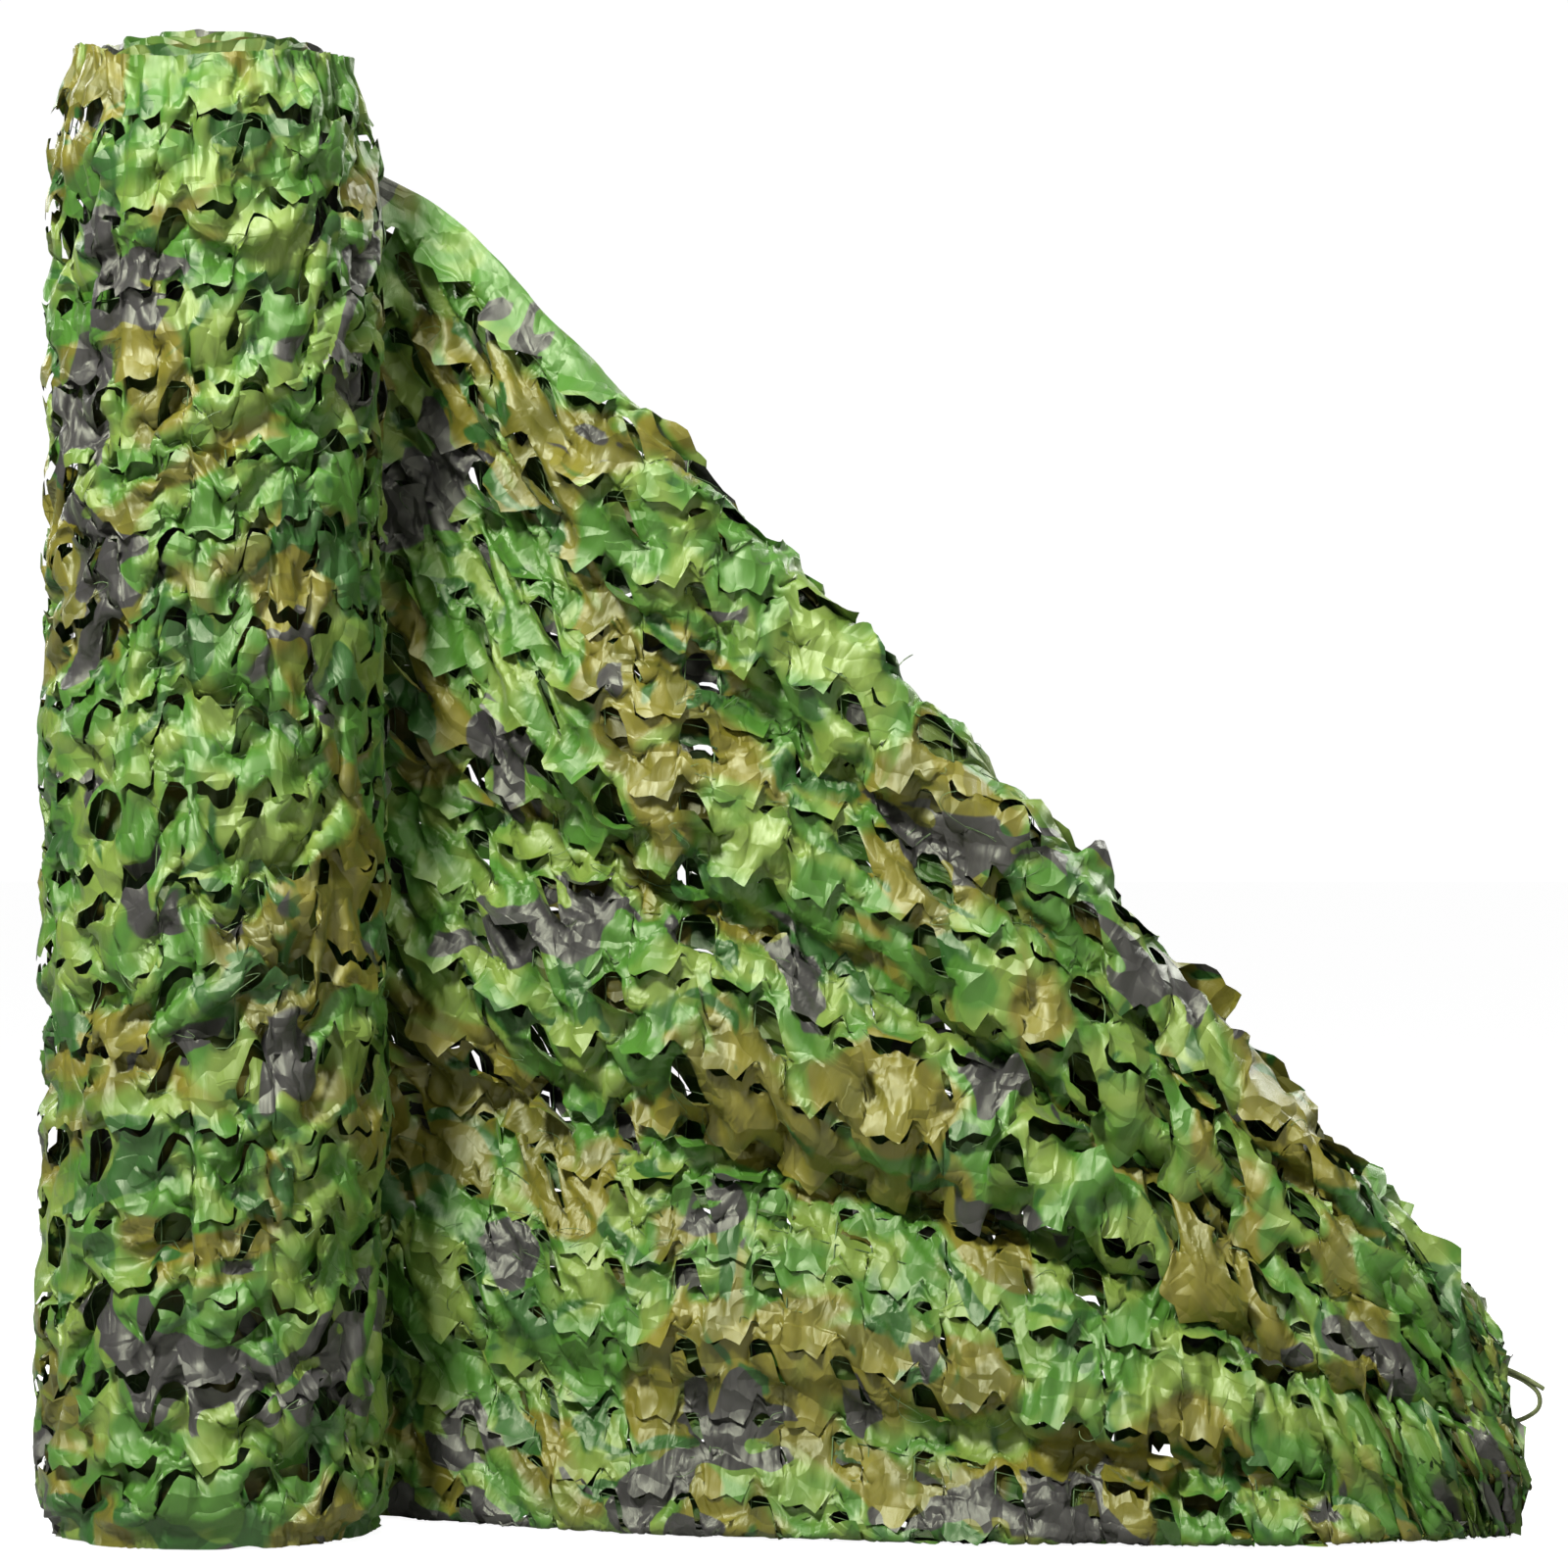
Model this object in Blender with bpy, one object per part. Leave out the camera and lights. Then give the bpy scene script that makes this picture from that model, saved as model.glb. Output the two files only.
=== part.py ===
"""Camouflage net: a bulk roll of leaf-cut netting on end, its loose end drawn out and slumped beside it.

Metres, +Z up, the front towards -Y, the origin on the floor under the middle of the whole.
The net is one cloth, slit in a repeat of leaves that stand off it. Wound up, it is one ridged solid.
The loose end is a draped sheet with one gap cut through in each repeat of leaves.
"""

import math
from collections import namedtuple

import bmesh
import bpy
import numpy as np

# The cloth
NET_WIDTH = 1.500
SELVAGE = 0.034
SHEET_THICKNESS = 0.003

# The roll, standing on its end
ROLL_X = -0.590
ROLL_Y = 0.005
FOOT_RADIUS = 0.158
TOP_RADIUS = 0.144
LEAVES_ROUND = 11
STEPS_PER_LEAF = 4
ROLL_ROWS = 17
RINGS_PER_ROW = 3
LEAF_STAND = 0.013
LEAF_SINK = 0.005
CRUMPLE = 0.0035
TURN_UNDER = 0.012
SEAM_ANGLE = math.radians(60)
SEAM_CALM = math.radians(34)
SEAM_LIE = math.radians(10)

# The loose end: its flat length, and the gaps cut in it
LOOSE_LENGTH = 1.476
GAP_COLUMNS = 17
GAP_ROWS = 17
GAP_MARGIN = 0.024
TONGUE_DROP = 0.013
TONGUE_STAND = 0.013
GAP_SINK = 0.004
SWAY = 0.012
TURN_IN_SHARE = 0.80
FLOOR_CLEAR = 0.006
BACK_FLARE = 0.10
ROOT_CALM = 0.12
PRESSED_HEIGHT = 0.035
SECTION_STEPS = 240
PROBE = 0.002
BEND_REACH = 0.02
BEND_PRESS = 2.0

# Cord end that stands out of the heap
CORD_DIAMETER = 0.0048
CORD_POINTS = 40

# A row for each station along the loose end: its place along the cloth, where the foot stands, where
# the front meets the ridge, the radius of the bend over the ridge, and how much cloth lies past it.
Station = namedtuple("Station", "along foot_x foot_y ridge_x ridge_y ridge_z bend behind")
STATIONS = (
    Station(0.000, -0.509, 0.145, -0.515, 0.134, 1.440, 0.020, 0.00),
    Station(0.085, -0.402, 0.090, -0.394, 0.090, 1.378, 0.020, 0.00),
    Station(0.225, -0.235, -0.002, -0.222, 0.030, 1.214, 0.020, 0.03),
    Station(0.410, -0.005, -0.078, 0.008, 0.000, 0.976, 0.024, 0.22),
    Station(0.580, 0.220, -0.114, 0.225, -0.016, 0.758, 0.030, 0.42),
    Station(0.725, 0.402, -0.128, 0.398, -0.030, 0.562, 0.040, 0.58),
    Station(0.840, 0.548, -0.124, 0.537, -0.034, 0.404, 0.050, 0.56),
    Station(0.917, 0.650, -0.104, 0.632, -0.026, 0.318, 0.055, 0.50),
    Station(0.968, 0.715, -0.078, 0.698, -0.014, 0.262, 0.047, 0.42),
    Station(1.000, 0.740, -0.060, 0.730, -0.004, 0.218, 0.036, 0.33),
)

# A row for each fold that runs across the loose end. Heights and widths are shares of the ridge's
# height, at the roll and at the free end; depth is how far it tucks in, sag how far its lip hangs over.
Fold = namedtuple("Fold", "name root_height end_height root_width end_width root_depth end_depth sag")
FOLDS = (
    Fold("foot", 0.115, 0.170, 0.035, 0.060, 0.016, 0.040, 0.35),
    Fold("ledge", 0.320, 0.540, 0.055, 0.090, 0.030, 0.110, 0.70),
    Fold("middle", 0.550, 0.740, 0.050, 0.070, 0.022, 0.085, 0.60),
    Fold("upper", 0.800, 0.900, 0.045, 0.050, 0.012, 0.050, 0.50),
)
FULL_DEPTH_HEIGHT = 0.520
HEAP_START = 0.80
HEAP_BELLY = 0.018

# A row for each ridge of wound selvage on the roll's top: its middle and half width as shares of the
# top's radius, and its height over the hem.
Winding = namedtuple("Winding", "middle half_width height")
WINDINGS = (
    Winding(0.93, 0.045, 0.030),
    Winding(0.78, 0.060, 0.044),
    Winding(0.58, 0.080, 0.052),
    Winding(0.34, 0.100, 0.056),
)
GROOVE_DEPTH = 0.012
TOP_TILT = 0.006

# A row for each point that the cord's end passes, chosen by hand.
CordPoint = namedtuple("CordPoint", "x y z")
CORD_ROUTE = (
    CordPoint(0.7150, 0.0190, 0.1640),
    CordPoint(0.7320, 0.0150, 0.1590),
    CordPoint(0.7490, 0.0110, 0.1510),
    CordPoint(0.7620, 0.0110, 0.1390),
    CordPoint(0.7628, 0.0150, 0.1240),
    CordPoint(0.7500, 0.0210, 0.1130),
    CordPoint(0.7320, 0.0260, 0.1070),
    CordPoint(0.7150, 0.0290, 0.1040),
)


def clear_scene():
    for item in list(bpy.data.objects):
        bpy.data.objects.remove(item, do_unlink=True)


def make_material(name, colour, roughness):
    material = bpy.data.materials.new(name)
    material.use_nodes = True
    shader = material.node_tree.nodes["Principled BSDF"]
    shader.inputs["Base Color"].default_value = (*colour, 1.0)
    shader.inputs["Roughness"].default_value = roughness
    shader.inputs["Metallic"].default_value = 0.0
    return material


def add_object(name, mesh, material, collection):
    mesh.materials.append(material)
    item = bpy.data.objects.new(name, mesh)
    collection.objects.link(item)
    return item


def ease(value):
    """Smooth step: 0 below 0, 1 above 1, level at both ends."""
    value = np.clip(value, 0.0, 1.0)
    return value * value * (3.0 - 2.0 * value)


def crumple(first, second):
    """Uneven waves in two directions, about -1 to 1, for creased cloth."""
    return (
        np.sin(first * 1.00 + 2.1 * np.sin(second * 0.61 + 0.4))
        + np.sin(second * 1.37 + 1.7 * np.sin(first * 0.83 + 1.9))
        + np.sin(first * 2.23 - second * 1.91 + 0.7)
    ) / 3.0


def curve_through(places, values, at):
    """Cubic Hermite curve through the values, each slope taken from its neighbours."""
    slope = np.gradient(values, places)
    row = np.clip(np.searchsorted(places, at, side="right") - 1, 0, len(places) - 2)
    gap = places[row + 1] - places[row]
    share = (at - places[row]) / gap
    rest = 1.0 - share
    return (
        values[row] * (1.0 + 2.0 * share) * rest**2
        + slope[row] * gap * share * rest**2
        + values[row + 1] * share**2 * (3.0 - 2.0 * share)
        - slope[row + 1] * gap * share**2 * rest
    )


def station_value(field, along):
    places = np.array([row.along for row in STATIONS])
    values = np.array([getattr(row, field) for row in STATIONS])
    return curve_through(places, values, along)


def outward(along):
    """Level direction that the loose end's front faces, square to its path in plan."""
    before = np.clip(along - 0.02, 0.0, 1.0)
    after = np.clip(along + 0.02, 0.0, 1.0)
    run_x = np.zeros_like(along)
    run_y = np.zeros_like(along)
    for part in ("foot", "ridge"):
        run_x = run_x + station_value(part + "_x", after) - station_value(part + "_x", before)
        run_y = run_y + station_value(part + "_y", after) - station_value(part + "_y", before)
    length = np.hypot(run_x, run_y)
    return run_y / length, -run_x / length


def section_path(along, arc):
    """Distance back from the front and height of a section, a length of arc up from the foot.

    The section climbs straight, bends over the ridge through a half circle, hangs down behind nearly
    to the floor, and there turns forward through a quarter circle and runs on under the heap.
    """
    bend = station_value("bend", along)
    front = station_value("ridge_z", along) - bend
    turn_in = TURN_IN_SHARE * bend
    drop = front - turn_in - FLOOR_CLEAR
    over = np.clip(arc - front, 0.0, math.pi * bend)
    down = np.clip(arc - front - math.pi * bend, 0.0, drop)
    inward = np.clip(arc - front - math.pi * bend - drop, 0.0, math.pi / 2.0 * turn_in)
    forward = np.maximum(arc - front - math.pi * bend - drop - math.pi / 2.0 * turn_in, 0.0)
    back = bend * (1.0 - np.cos(over / bend)) + BACK_FLARE * down
    back = back - turn_in * (1.0 - np.cos(inward / turn_in)) - forward
    level = np.minimum(arc, front) + bend * np.sin(over / bend) - down - turn_in * np.sin(inward / turn_in)
    return back, level


def section_point(along, rise):
    """Point of the draped cloth at a place along it and a rise, the share of the ridge's height climbed.

    Each fold tucks the section in by a bell curve and lets the lip above it sag over the tuck.
    """
    height = station_value("ridge_z", along)
    back, level = section_path(along, rise * height)
    calm = ease(along / ROOT_CALM)
    small = np.minimum(1.0, height / FULL_DEPTH_HEIGHT)
    reach = HEAP_BELLY * ease((along - HEAP_START) / 0.12) * np.sin(math.pi * np.minimum(rise, 1.0)) - back
    reach = reach + SWAY * calm * ease(rise / 0.25) * np.sin(along * 21.0 + rise * 2.6)
    for fold in FOLDS:
        middle = fold.root_height + (fold.end_height - fold.root_height) * along
        width = fold.root_width + (fold.end_width - fold.root_width) * along
        depth = (fold.root_depth + (fold.end_depth - fold.root_depth) * along) * calm * small
        depth = depth * (1.0 + 0.25 * np.sin(along * 17.0 + fold.root_height * 40.0))
        reach = reach - depth * np.exp(-(((rise - middle) / width) ** 2))
        reach = reach + 0.4 * depth * np.exp(-(((rise - middle - 1.6 * width) / (1.2 * width)) ** 2))
        level = level - fold.sag * depth * np.exp(-(((rise - middle - 1.1 * width) / width) ** 2))
    lean = np.minimum(rise, 1.0)
    place = []
    for axis, face in zip("xy", outward(along)):
        foot = station_value("foot_" + axis, along)
        ridge = station_value("ridge_" + axis, along)
        place.append(foot + (ridge - foot) * lean + face * reach)
    return np.stack((*place, np.maximum(level, 0.0)), axis=-1)


def drape(along, across):
    """Place on the draped cloth of points given along it and across it, both as shares of the flat cloth.

    The cloth lies evenly along each section, so the share across is a share of the section's length.
    """
    along = np.clip(along, 0.0, 1.0)
    height = station_value("ridge_z", along)
    top = 1.0 + np.maximum(station_value("behind", along) - station_value("bend", along), 0.0) / height
    rise = np.linspace(0.0, 1.0, SECTION_STEPS)[None, :] * top[:, None]
    points = section_point(np.repeat(along[:, None], SECTION_STEPS, axis=1), rise)
    steps = np.linalg.norm(np.diff(points, axis=1), axis=2)
    length = np.concatenate((np.zeros((len(along), 1)), np.cumsum(steps, axis=1)), axis=1)
    placed = np.empty((len(along), 3))
    for row, share in enumerate(np.clip(across, 0.0, 1.0)):
        wanted = share * length[row, -1]
        for axis in range(3):
            placed[row, axis] = np.interp(wanted, length[row], points[row, :, axis])
    return placed


def drape_normal(along, across):
    """Unit normal of the drape, towards its front, from points a little way off on each side."""
    one_way = drape(along + PROBE, across) - drape(along - PROBE, across)
    other_way = drape(along, across + PROBE) - drape(along, across - PROBE)
    normal = np.cross(one_way, other_way)
    return normal / np.linalg.norm(normal, axis=1)[:, None]


def room_to_stand(along, across):
    """Share of their height that tongues can stand off: less in a sharp bend and close to the floor."""
    above = drape_normal(along, np.minimum(across + BEND_REACH, 1.0))
    below = drape_normal(along, np.maximum(across - BEND_REACH, 0.0))
    bend = 1.0 - np.sum(above * below, axis=1)
    pressed = ease(drape(along, across)[:, 2] / PRESSED_HEIGHT)
    return ease((along - 0.02) / ROOT_CALM) * pressed / (1.0 + BEND_PRESS * bend)


def cut_net():
    """Flat loose end: a grid joined into bricks, each inset and opened to a gap with a tongue over it.

    X runs along the cloth, Y across it from the foot, and Z is how far a point stands off it.
    """
    bm = bmesh.new()
    bmesh.ops.create_grid(bm, x_segments=2 * GAP_COLUMNS, y_segments=GAP_ROWS + 2, size=0.5)
    row_height = (NET_WIDTH - 2.0 * SELVAGE) / GAP_ROWS
    half_leaf = LOOSE_LENGTH / (2 * GAP_COLUMNS)
    for vert in bm.verts:
        line = round((vert.co.y + 0.5) * (GAP_ROWS + 2))
        vert.co.x = round((vert.co.x + 0.5) * 2 * GAP_COLUMNS) * half_leaf
        vert.co.y = min(max(SELVAGE + (line - 1) * row_height, 0.0), NET_WIDTH)
    joined = []
    for edge in bm.edges:
        middle = (edge.verts[0].co + edge.verts[1].co) / 2.0
        upright = abs(edge.verts[0].co.x - edge.verts[1].co.x) < half_leaf / 2.0
        row = math.floor((middle.y - SELVAGE) / row_height)
        column = round(middle.x / half_leaf)
        within = 0 < column < 2 * GAP_COLUMNS and 0 <= row < GAP_ROWS
        if upright and within and (column + row) % 2 == 1:
            joined.append(edge)
    bmesh.ops.dissolve_edges(bm, edges=joined, use_verts=False)
    bricks = [face for face in bm.faces if len(face.verts) == 6]
    bmesh.ops.inset_individual(bm, faces=bricks, thickness=GAP_MARGIN)
    for vert in bm.verts:
        inside = SELVAGE < vert.co.y < NET_WIDTH - SELVAGE
        vert.co.z = CRUMPLE * float(crumple(vert.co.x * 71.0, vert.co.y * 83.0)) * inside
    for face in bricks:
        centre = face.calc_center_median()
        for vert in face.verts:
            if abs(vert.co.x - centre.x) > half_leaf / 4.0:
                continue
            if vert.co.y > centre.y:
                vert.co.z += TONGUE_STAND
                vert.co.y -= TONGUE_DROP
            else:
                vert.co.z -= GAP_SINK
    bmesh.ops.delete(bm, geom=bricks, context="FACES_ONLY")
    return bm


def make_loose_end(material, collection):
    """Cut net given its thickness, then each of its points laid on the drape and held off the floor."""
    bm = cut_net()
    bmesh.ops.solidify(bm, geom=list(bm.faces), thickness=SHEET_THICKNESS)
    bmesh.ops.recalc_face_normals(bm, faces=bm.faces)
    flat = np.array([vert.co for vert in bm.verts])
    along = np.clip(flat[:, 0] / LOOSE_LENGTH, 0.0, 1.0)
    across = np.clip(flat[:, 1] / NET_WIDTH, 0.0, 1.0)
    behind = np.minimum(flat[:, 2], 0.0)
    stand = behind + (flat[:, 2] - behind) * room_to_stand(along, across)
    placed = drape(along, across) + drape_normal(along, across) * stand[:, None]
    for vert, point, share in zip(bm.verts, placed, across):
        vert.co = point
        if share < 1e-4 or point[2] < 0.0:
            vert.co.z = 0.0
    mesh = bpy.data.meshes.new("loose_end")
    bm.to_mesh(mesh)
    bm.free()
    return add_object("loose_end", mesh, material, collection)


def roll_profile():
    """Half section of the roll from the middle of its foot, up its side, to the middle of its top."""
    side = NET_WIDTH - 2.0 * SELVAGE
    rings = ROLL_ROWS * RINGS_PER_ROW
    profile = [(0.0, 0.0), (0.6 * FOOT_RADIUS, 0.0), (FOOT_RADIUS - TURN_UNDER, 0.0)]
    for ring in range(rings + 1):
        level = SELVAGE + side * ring / rings
        share = level / NET_WIDTH
        profile.append((FOOT_RADIUS + (TOP_RADIUS - FOOT_RADIUS) * share, level))
    hem = SELVAGE + side
    profile.append((TOP_RADIUS, hem + 0.5 * SELVAGE))
    for winding in WINDINGS:
        middle = winding.middle * TOP_RADIUS
        half = winding.half_width * TOP_RADIUS
        profile.append((middle + 0.8 * half, hem + winding.height))
        profile.append((middle - 0.8 * half, hem + winding.height))
        profile.append((middle - 1.2 * half, hem + winding.height - GROOVE_DEPTH))
    profile.append((0.0, hem + WINDINGS[-1].height - GROOVE_DEPTH))
    return profile


def leaf_relief(angle, level):
    """How far the wound leaves stand off: each hangs from its upper edge, out at its lower tip.

    Rows are staggered by half a leaf. The cloth lies flat where the loose end leaves the roll.
    """
    row_height = (NET_WIDTH - 2.0 * SELVAGE) / ROLL_ROWS
    row = np.floor((level - SELVAGE) / row_height + 1e-6)
    hang = 1.0 - ((level - SELVAGE) / row_height - row)
    place = angle / (2.0 * math.pi) * LEAVES_ROUND + 0.5 * (row % 2)
    tongue = np.cos(math.pi * place) ** 2
    stand = tongue * ((LEAF_STAND + LEAF_SINK) * hang - LEAF_SINK) - (1.0 - tongue) * 0.5 * LEAF_SINK
    rough = CRUMPLE * 1.4 * crumple(angle * 9.0, level * 61.0)
    hem = NET_WIDTH - SELVAGE
    within = ease(level / (2.0 * SELVAGE)) * ease((hem - level) / row_height)
    turn = np.abs((angle - SEAM_ANGLE + SEAM_LIE + math.pi) % (2.0 * math.pi) - math.pi)
    calm = ease((turn - SEAM_CALM) / SEAM_CALM)
    return within * calm * (stand + rough)


def make_roll(material, collection):
    """Profile spun round the roll's axis, then each point of its side moved by the leaf relief."""
    bm = bmesh.new()
    verts = [bm.verts.new((radius, 0.0, level)) for radius, level in roll_profile()]
    edges = [bm.edges.new(pair) for pair in zip(verts, verts[1:])]
    steps = LEAVES_ROUND * STEPS_PER_LEAF
    bmesh.ops.spin(
        bm, geom=verts + edges, cent=(0.0, 0.0, 0.0), axis=(0.0, 0.0, 1.0), angle=2.0 * math.pi, steps=steps
    )
    bmesh.ops.remove_doubles(bm, verts=bm.verts, dist=1e-5)
    hem = NET_WIDTH - SELVAGE
    for vert in bm.verts:
        radius = math.hypot(vert.co.x, vert.co.y)
        angle = math.atan2(vert.co.y, vert.co.x)
        level = vert.co.z
        if SELVAGE * 0.5 < level < hem + 1e-4:
            reach = radius + float(leaf_relief(angle, level))
            vert.co.x = reach * math.cos(angle)
            vert.co.y = reach * math.sin(angle)
        elif level > hem:
            vert.co.z -= TOP_TILT * float(1.0 + crumple(angle * 2.0, radius * 30.0)) * radius / TOP_RADIUS
    bmesh.ops.recalc_face_normals(bm, faces=bm.faces)
    mesh = bpy.data.meshes.new("roll")
    bm.to_mesh(mesh)
    bm.free()
    roll = add_object("roll", mesh, material, collection)
    roll.location = (ROLL_X, ROLL_Y, 0.0)
    return roll


def make_cord_end(material, collection):
    """Thin cord that stands out of the heap in a small loop, read from a smooth curve by its points."""
    places = np.arange(len(CORD_ROUTE), dtype=float)
    at = np.linspace(0.0, places[-1], CORD_POINTS)
    route = np.stack([curve_through(places, np.array(column), at) for column in zip(*CORD_ROUTE)], axis=1)
    curve = bpy.data.curves.new("cord_end", "CURVE")
    curve.dimensions = "3D"
    curve.bevel_depth = CORD_DIAMETER / 2.0
    curve.bevel_resolution = 2
    curve.use_fill_caps = True
    spline = curve.splines.new("POLY")
    spline.points.add(CORD_POINTS - 1)
    for point, place in zip(spline.points, route):
        point.co = (*place, 1.0)
    curve.materials.append(material)
    cord = bpy.data.objects.new("cord_end", curve)
    collection.objects.link(cord)
    return cord


def main():
    clear_scene()
    collection = bpy.data.collections.new("camouflage_net")
    bpy.context.scene.collection.children.link(collection)
    wound_cloth = make_material("wound_leaf_cloth", (0.075, 0.190, 0.045), 0.42)
    drawn_cloth = make_material("drawn_leaf_cloth", (0.085, 0.205, 0.050), 0.42)
    cord = make_material("green_cord", (0.170, 0.200, 0.075), 0.70)
    make_roll(wound_cloth, collection)
    make_loose_end(drawn_cloth, collection)
    make_cord_end(cord, collection)


main()
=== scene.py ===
"""Camouflage net in Blender: the looks of a roll of leaf-cut netting with its loose end drawn out.

Metres and radians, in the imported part's frame: +Z up, the front towards -Y, the origin on the floor.
"""

import math
from collections import namedtuple

import bpy
import numpy as np
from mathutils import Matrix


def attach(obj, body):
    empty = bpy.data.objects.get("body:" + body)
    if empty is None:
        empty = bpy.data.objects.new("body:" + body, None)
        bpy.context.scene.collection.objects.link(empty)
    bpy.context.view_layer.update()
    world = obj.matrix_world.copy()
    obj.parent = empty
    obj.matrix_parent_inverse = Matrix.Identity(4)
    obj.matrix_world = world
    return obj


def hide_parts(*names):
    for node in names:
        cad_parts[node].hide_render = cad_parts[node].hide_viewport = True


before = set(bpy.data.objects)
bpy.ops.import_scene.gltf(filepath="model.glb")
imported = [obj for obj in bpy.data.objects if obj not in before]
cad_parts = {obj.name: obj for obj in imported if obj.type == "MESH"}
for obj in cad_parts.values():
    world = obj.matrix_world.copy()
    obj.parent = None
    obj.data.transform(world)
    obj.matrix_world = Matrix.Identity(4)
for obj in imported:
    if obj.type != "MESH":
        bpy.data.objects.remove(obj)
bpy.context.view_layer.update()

# ---- Studio ----
# A wide pale floor in a pale room, one soft key light from the upper left, weak fills all round, and a
# level camera with a long lens, as the net was photographed. None of it belongs to the object.
VIEW_WIDTH = 1.600
VIEW_MIDDLE_X = -0.009
VIEW_MIDDLE_Z = 0.762
CAMERA_DISTANCE = 6.0
SENSOR_WIDTH = 36.0
WHITE = (1.0, 1.0, 1.0, 1.0)
BLACK = (0.0, 0.0, 0.0, 1.0)
FLOOR_HALF_WIDTH = 40.0
FLOOR_GREY = (0.30, 0.30, 0.30)
FLOOR_ROUGHNESS = 0.9
FLOOR_GLOW_SEEN = 0.94
ROOM_GLOW = 0.13
ROOM_GLOW_SEEN = 1.02
Light = namedtuple("Light", "name place aim size power")
LIGHTS = (
    Light("key_light", (-2.2, -3.3, 4.4), (0.0, 0.0, 0.7), 1.0, 440.0),
    Light("fill_light", (3.0, -4.6, 2.0), (0.0, 0.0, 0.6), 1.6, 40.0),
    Light("top_light", (0.3, -0.6, 4.2), (0.0, 0.0, 0.4), 1.4, 60.0),
    Light("back_light_left", (-3.4, 3.4, 3.2), (0.0, 0.0, 0.6), 1.6, 110.0),
    Light("back_light_right", (3.2, 3.6, 3.0), (0.0, 0.0, 0.5), 1.6, 110.0),
)


def surface_mesh(name, points, faces, uvs=None):
    """Mesh of a grid's points with four-cornered faces, smooth, with one UV a point if given."""
    mesh = bpy.data.meshes.new(name)
    mesh.vertices.add(len(points))
    mesh.vertices.foreach_set("co", np.ascontiguousarray(points, dtype=np.float32).ravel())
    mesh.loops.add(faces.size)
    mesh.loops.foreach_set("vertex_index", np.ascontiguousarray(faces, dtype=np.int32).ravel())
    mesh.polygons.add(len(faces))
    starts = np.arange(0, faces.size, faces.shape[1], dtype=np.int32)
    mesh.polygons.foreach_set("loop_start", starts)
    mesh.polygons.foreach_set("use_smooth", np.ones(len(faces), dtype=bool))
    mesh.update(calc_edges=True)
    if uvs is not None:
        layer = mesh.uv_layers.new(name="cloth")
        corners = np.ascontiguousarray(uvs[faces.ravel()], dtype=np.float32)
        layer.data.foreach_set("uv", corners.ravel())
    mesh.validate()
    return mesh


def add_piece(name, mesh, material):
    """Object of a mesh and a material, at the origin."""
    piece = bpy.data.objects.new(name, mesh)
    piece.data.materials.append(material)
    bpy.context.scene.collection.objects.link(piece)
    return piece


def grid_faces(rows, columns):
    """Faces of a grid of points, each wound so that it looks out where columns x rows points out."""
    corner = np.arange(rows - 1)[:, None] * columns + np.arange(columns - 1)[None, :]
    corner = corner.ravel()
    return np.stack((corner, corner + 1, corner + columns + 1, corner + columns), axis=1)


def fill_sockets(owner, node, values):
    """Node with sockets, by name or number, given their values, or linked where that is an output."""
    for key, value in values.items():
        if isinstance(value, bpy.types.NodeSocket):
            owner.node_tree.links.new(value, node.inputs[key])
        else:
            node.inputs[key].default_value = value
    return node


def add_node(owner, kind, values, **settings):
    """New node of a kind in a material or world: its settings are made, then its sockets filled."""
    node = owner.node_tree.nodes.new("ShaderNode" + kind)
    for name, value in settings.items():
        setattr(node, name, value)
    return fill_sockets(owner, node, values)


def fill_shader(owner, values):
    """Sockets of a material's or world's own shader, filled."""
    kind = "Background" if isinstance(owner, bpy.types.World) else "Principled BSDF"
    fill_sockets(owner, owner.node_tree.nodes[kind], values)


def plain_material(name, colour, roughness):
    """Material of one colour and one roughness, for others to build on."""
    material = bpy.data.materials.new(name)
    material.use_nodes = True
    fill_shader(material, {"Base Color": (*colour, 1.0), "Roughness": roughness})
    return material


def pale_floor():
    """Level square of floor, with its four corners FLOOR_HALF_WIDTH from the origin each way."""
    corner = np.array([[-1.0, -1.0, 0.0], [1.0, -1.0, 0.0], [1.0, 1.0, 0.0], [-1.0, 1.0, 0.0]])
    return surface_mesh("floor", corner * FLOOR_HALF_WIDTH, np.array([[0, 1, 2, 3]]))


def seen_directly(owner, low, high):
    """Output that is high for what the camera sees directly and low for the light thrown back."""
    path = add_node(owner, "LightPath", {})
    values = {0: path.outputs["Is Camera Ray"], 1: high - low, 2: low}
    return add_node(owner, "Math", values, operation="MULTIPLY_ADD").outputs["Value"]


floor_material = plain_material("pale_floor", FLOOR_GREY, FLOOR_ROUGHNESS)
floor_glow = seen_directly(floor_material, 0.0, FLOOR_GLOW_SEEN)
fill_shader(floor_material, {"Emission Color": WHITE, "Emission Strength": floor_glow})
floor = add_piece("floor", pale_floor(), floor_material)


def add_area_light(row):
    """Round area light at a row's place, turned so that it shines at the row's aim."""
    light = bpy.data.lights.new(row.name, "AREA")
    light.shape = "DISK"
    light.size = row.size
    light.energy = row.power
    lamp = bpy.data.objects.new(row.name, light)
    lamp.location = row.place
    way = np.array(row.aim) - np.array(row.place)
    level = math.hypot(way[0], way[1])
    lamp.rotation_euler = (math.atan2(level, -way[2]), 0.0, math.atan2(-way[0], way[1]))
    bpy.context.scene.collection.objects.link(lamp)


for light_row in LIGHTS:
    add_area_light(light_row)

world = bpy.data.worlds.new("pale_room")
world.use_nodes = True
fill_shader(world, {"Color": WHITE, "Strength": seen_directly(world, ROOM_GLOW, ROOM_GLOW_SEEN)})
bpy.context.scene.world = world

bpy.context.scene.view_settings.view_transform = "Standard"

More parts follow.
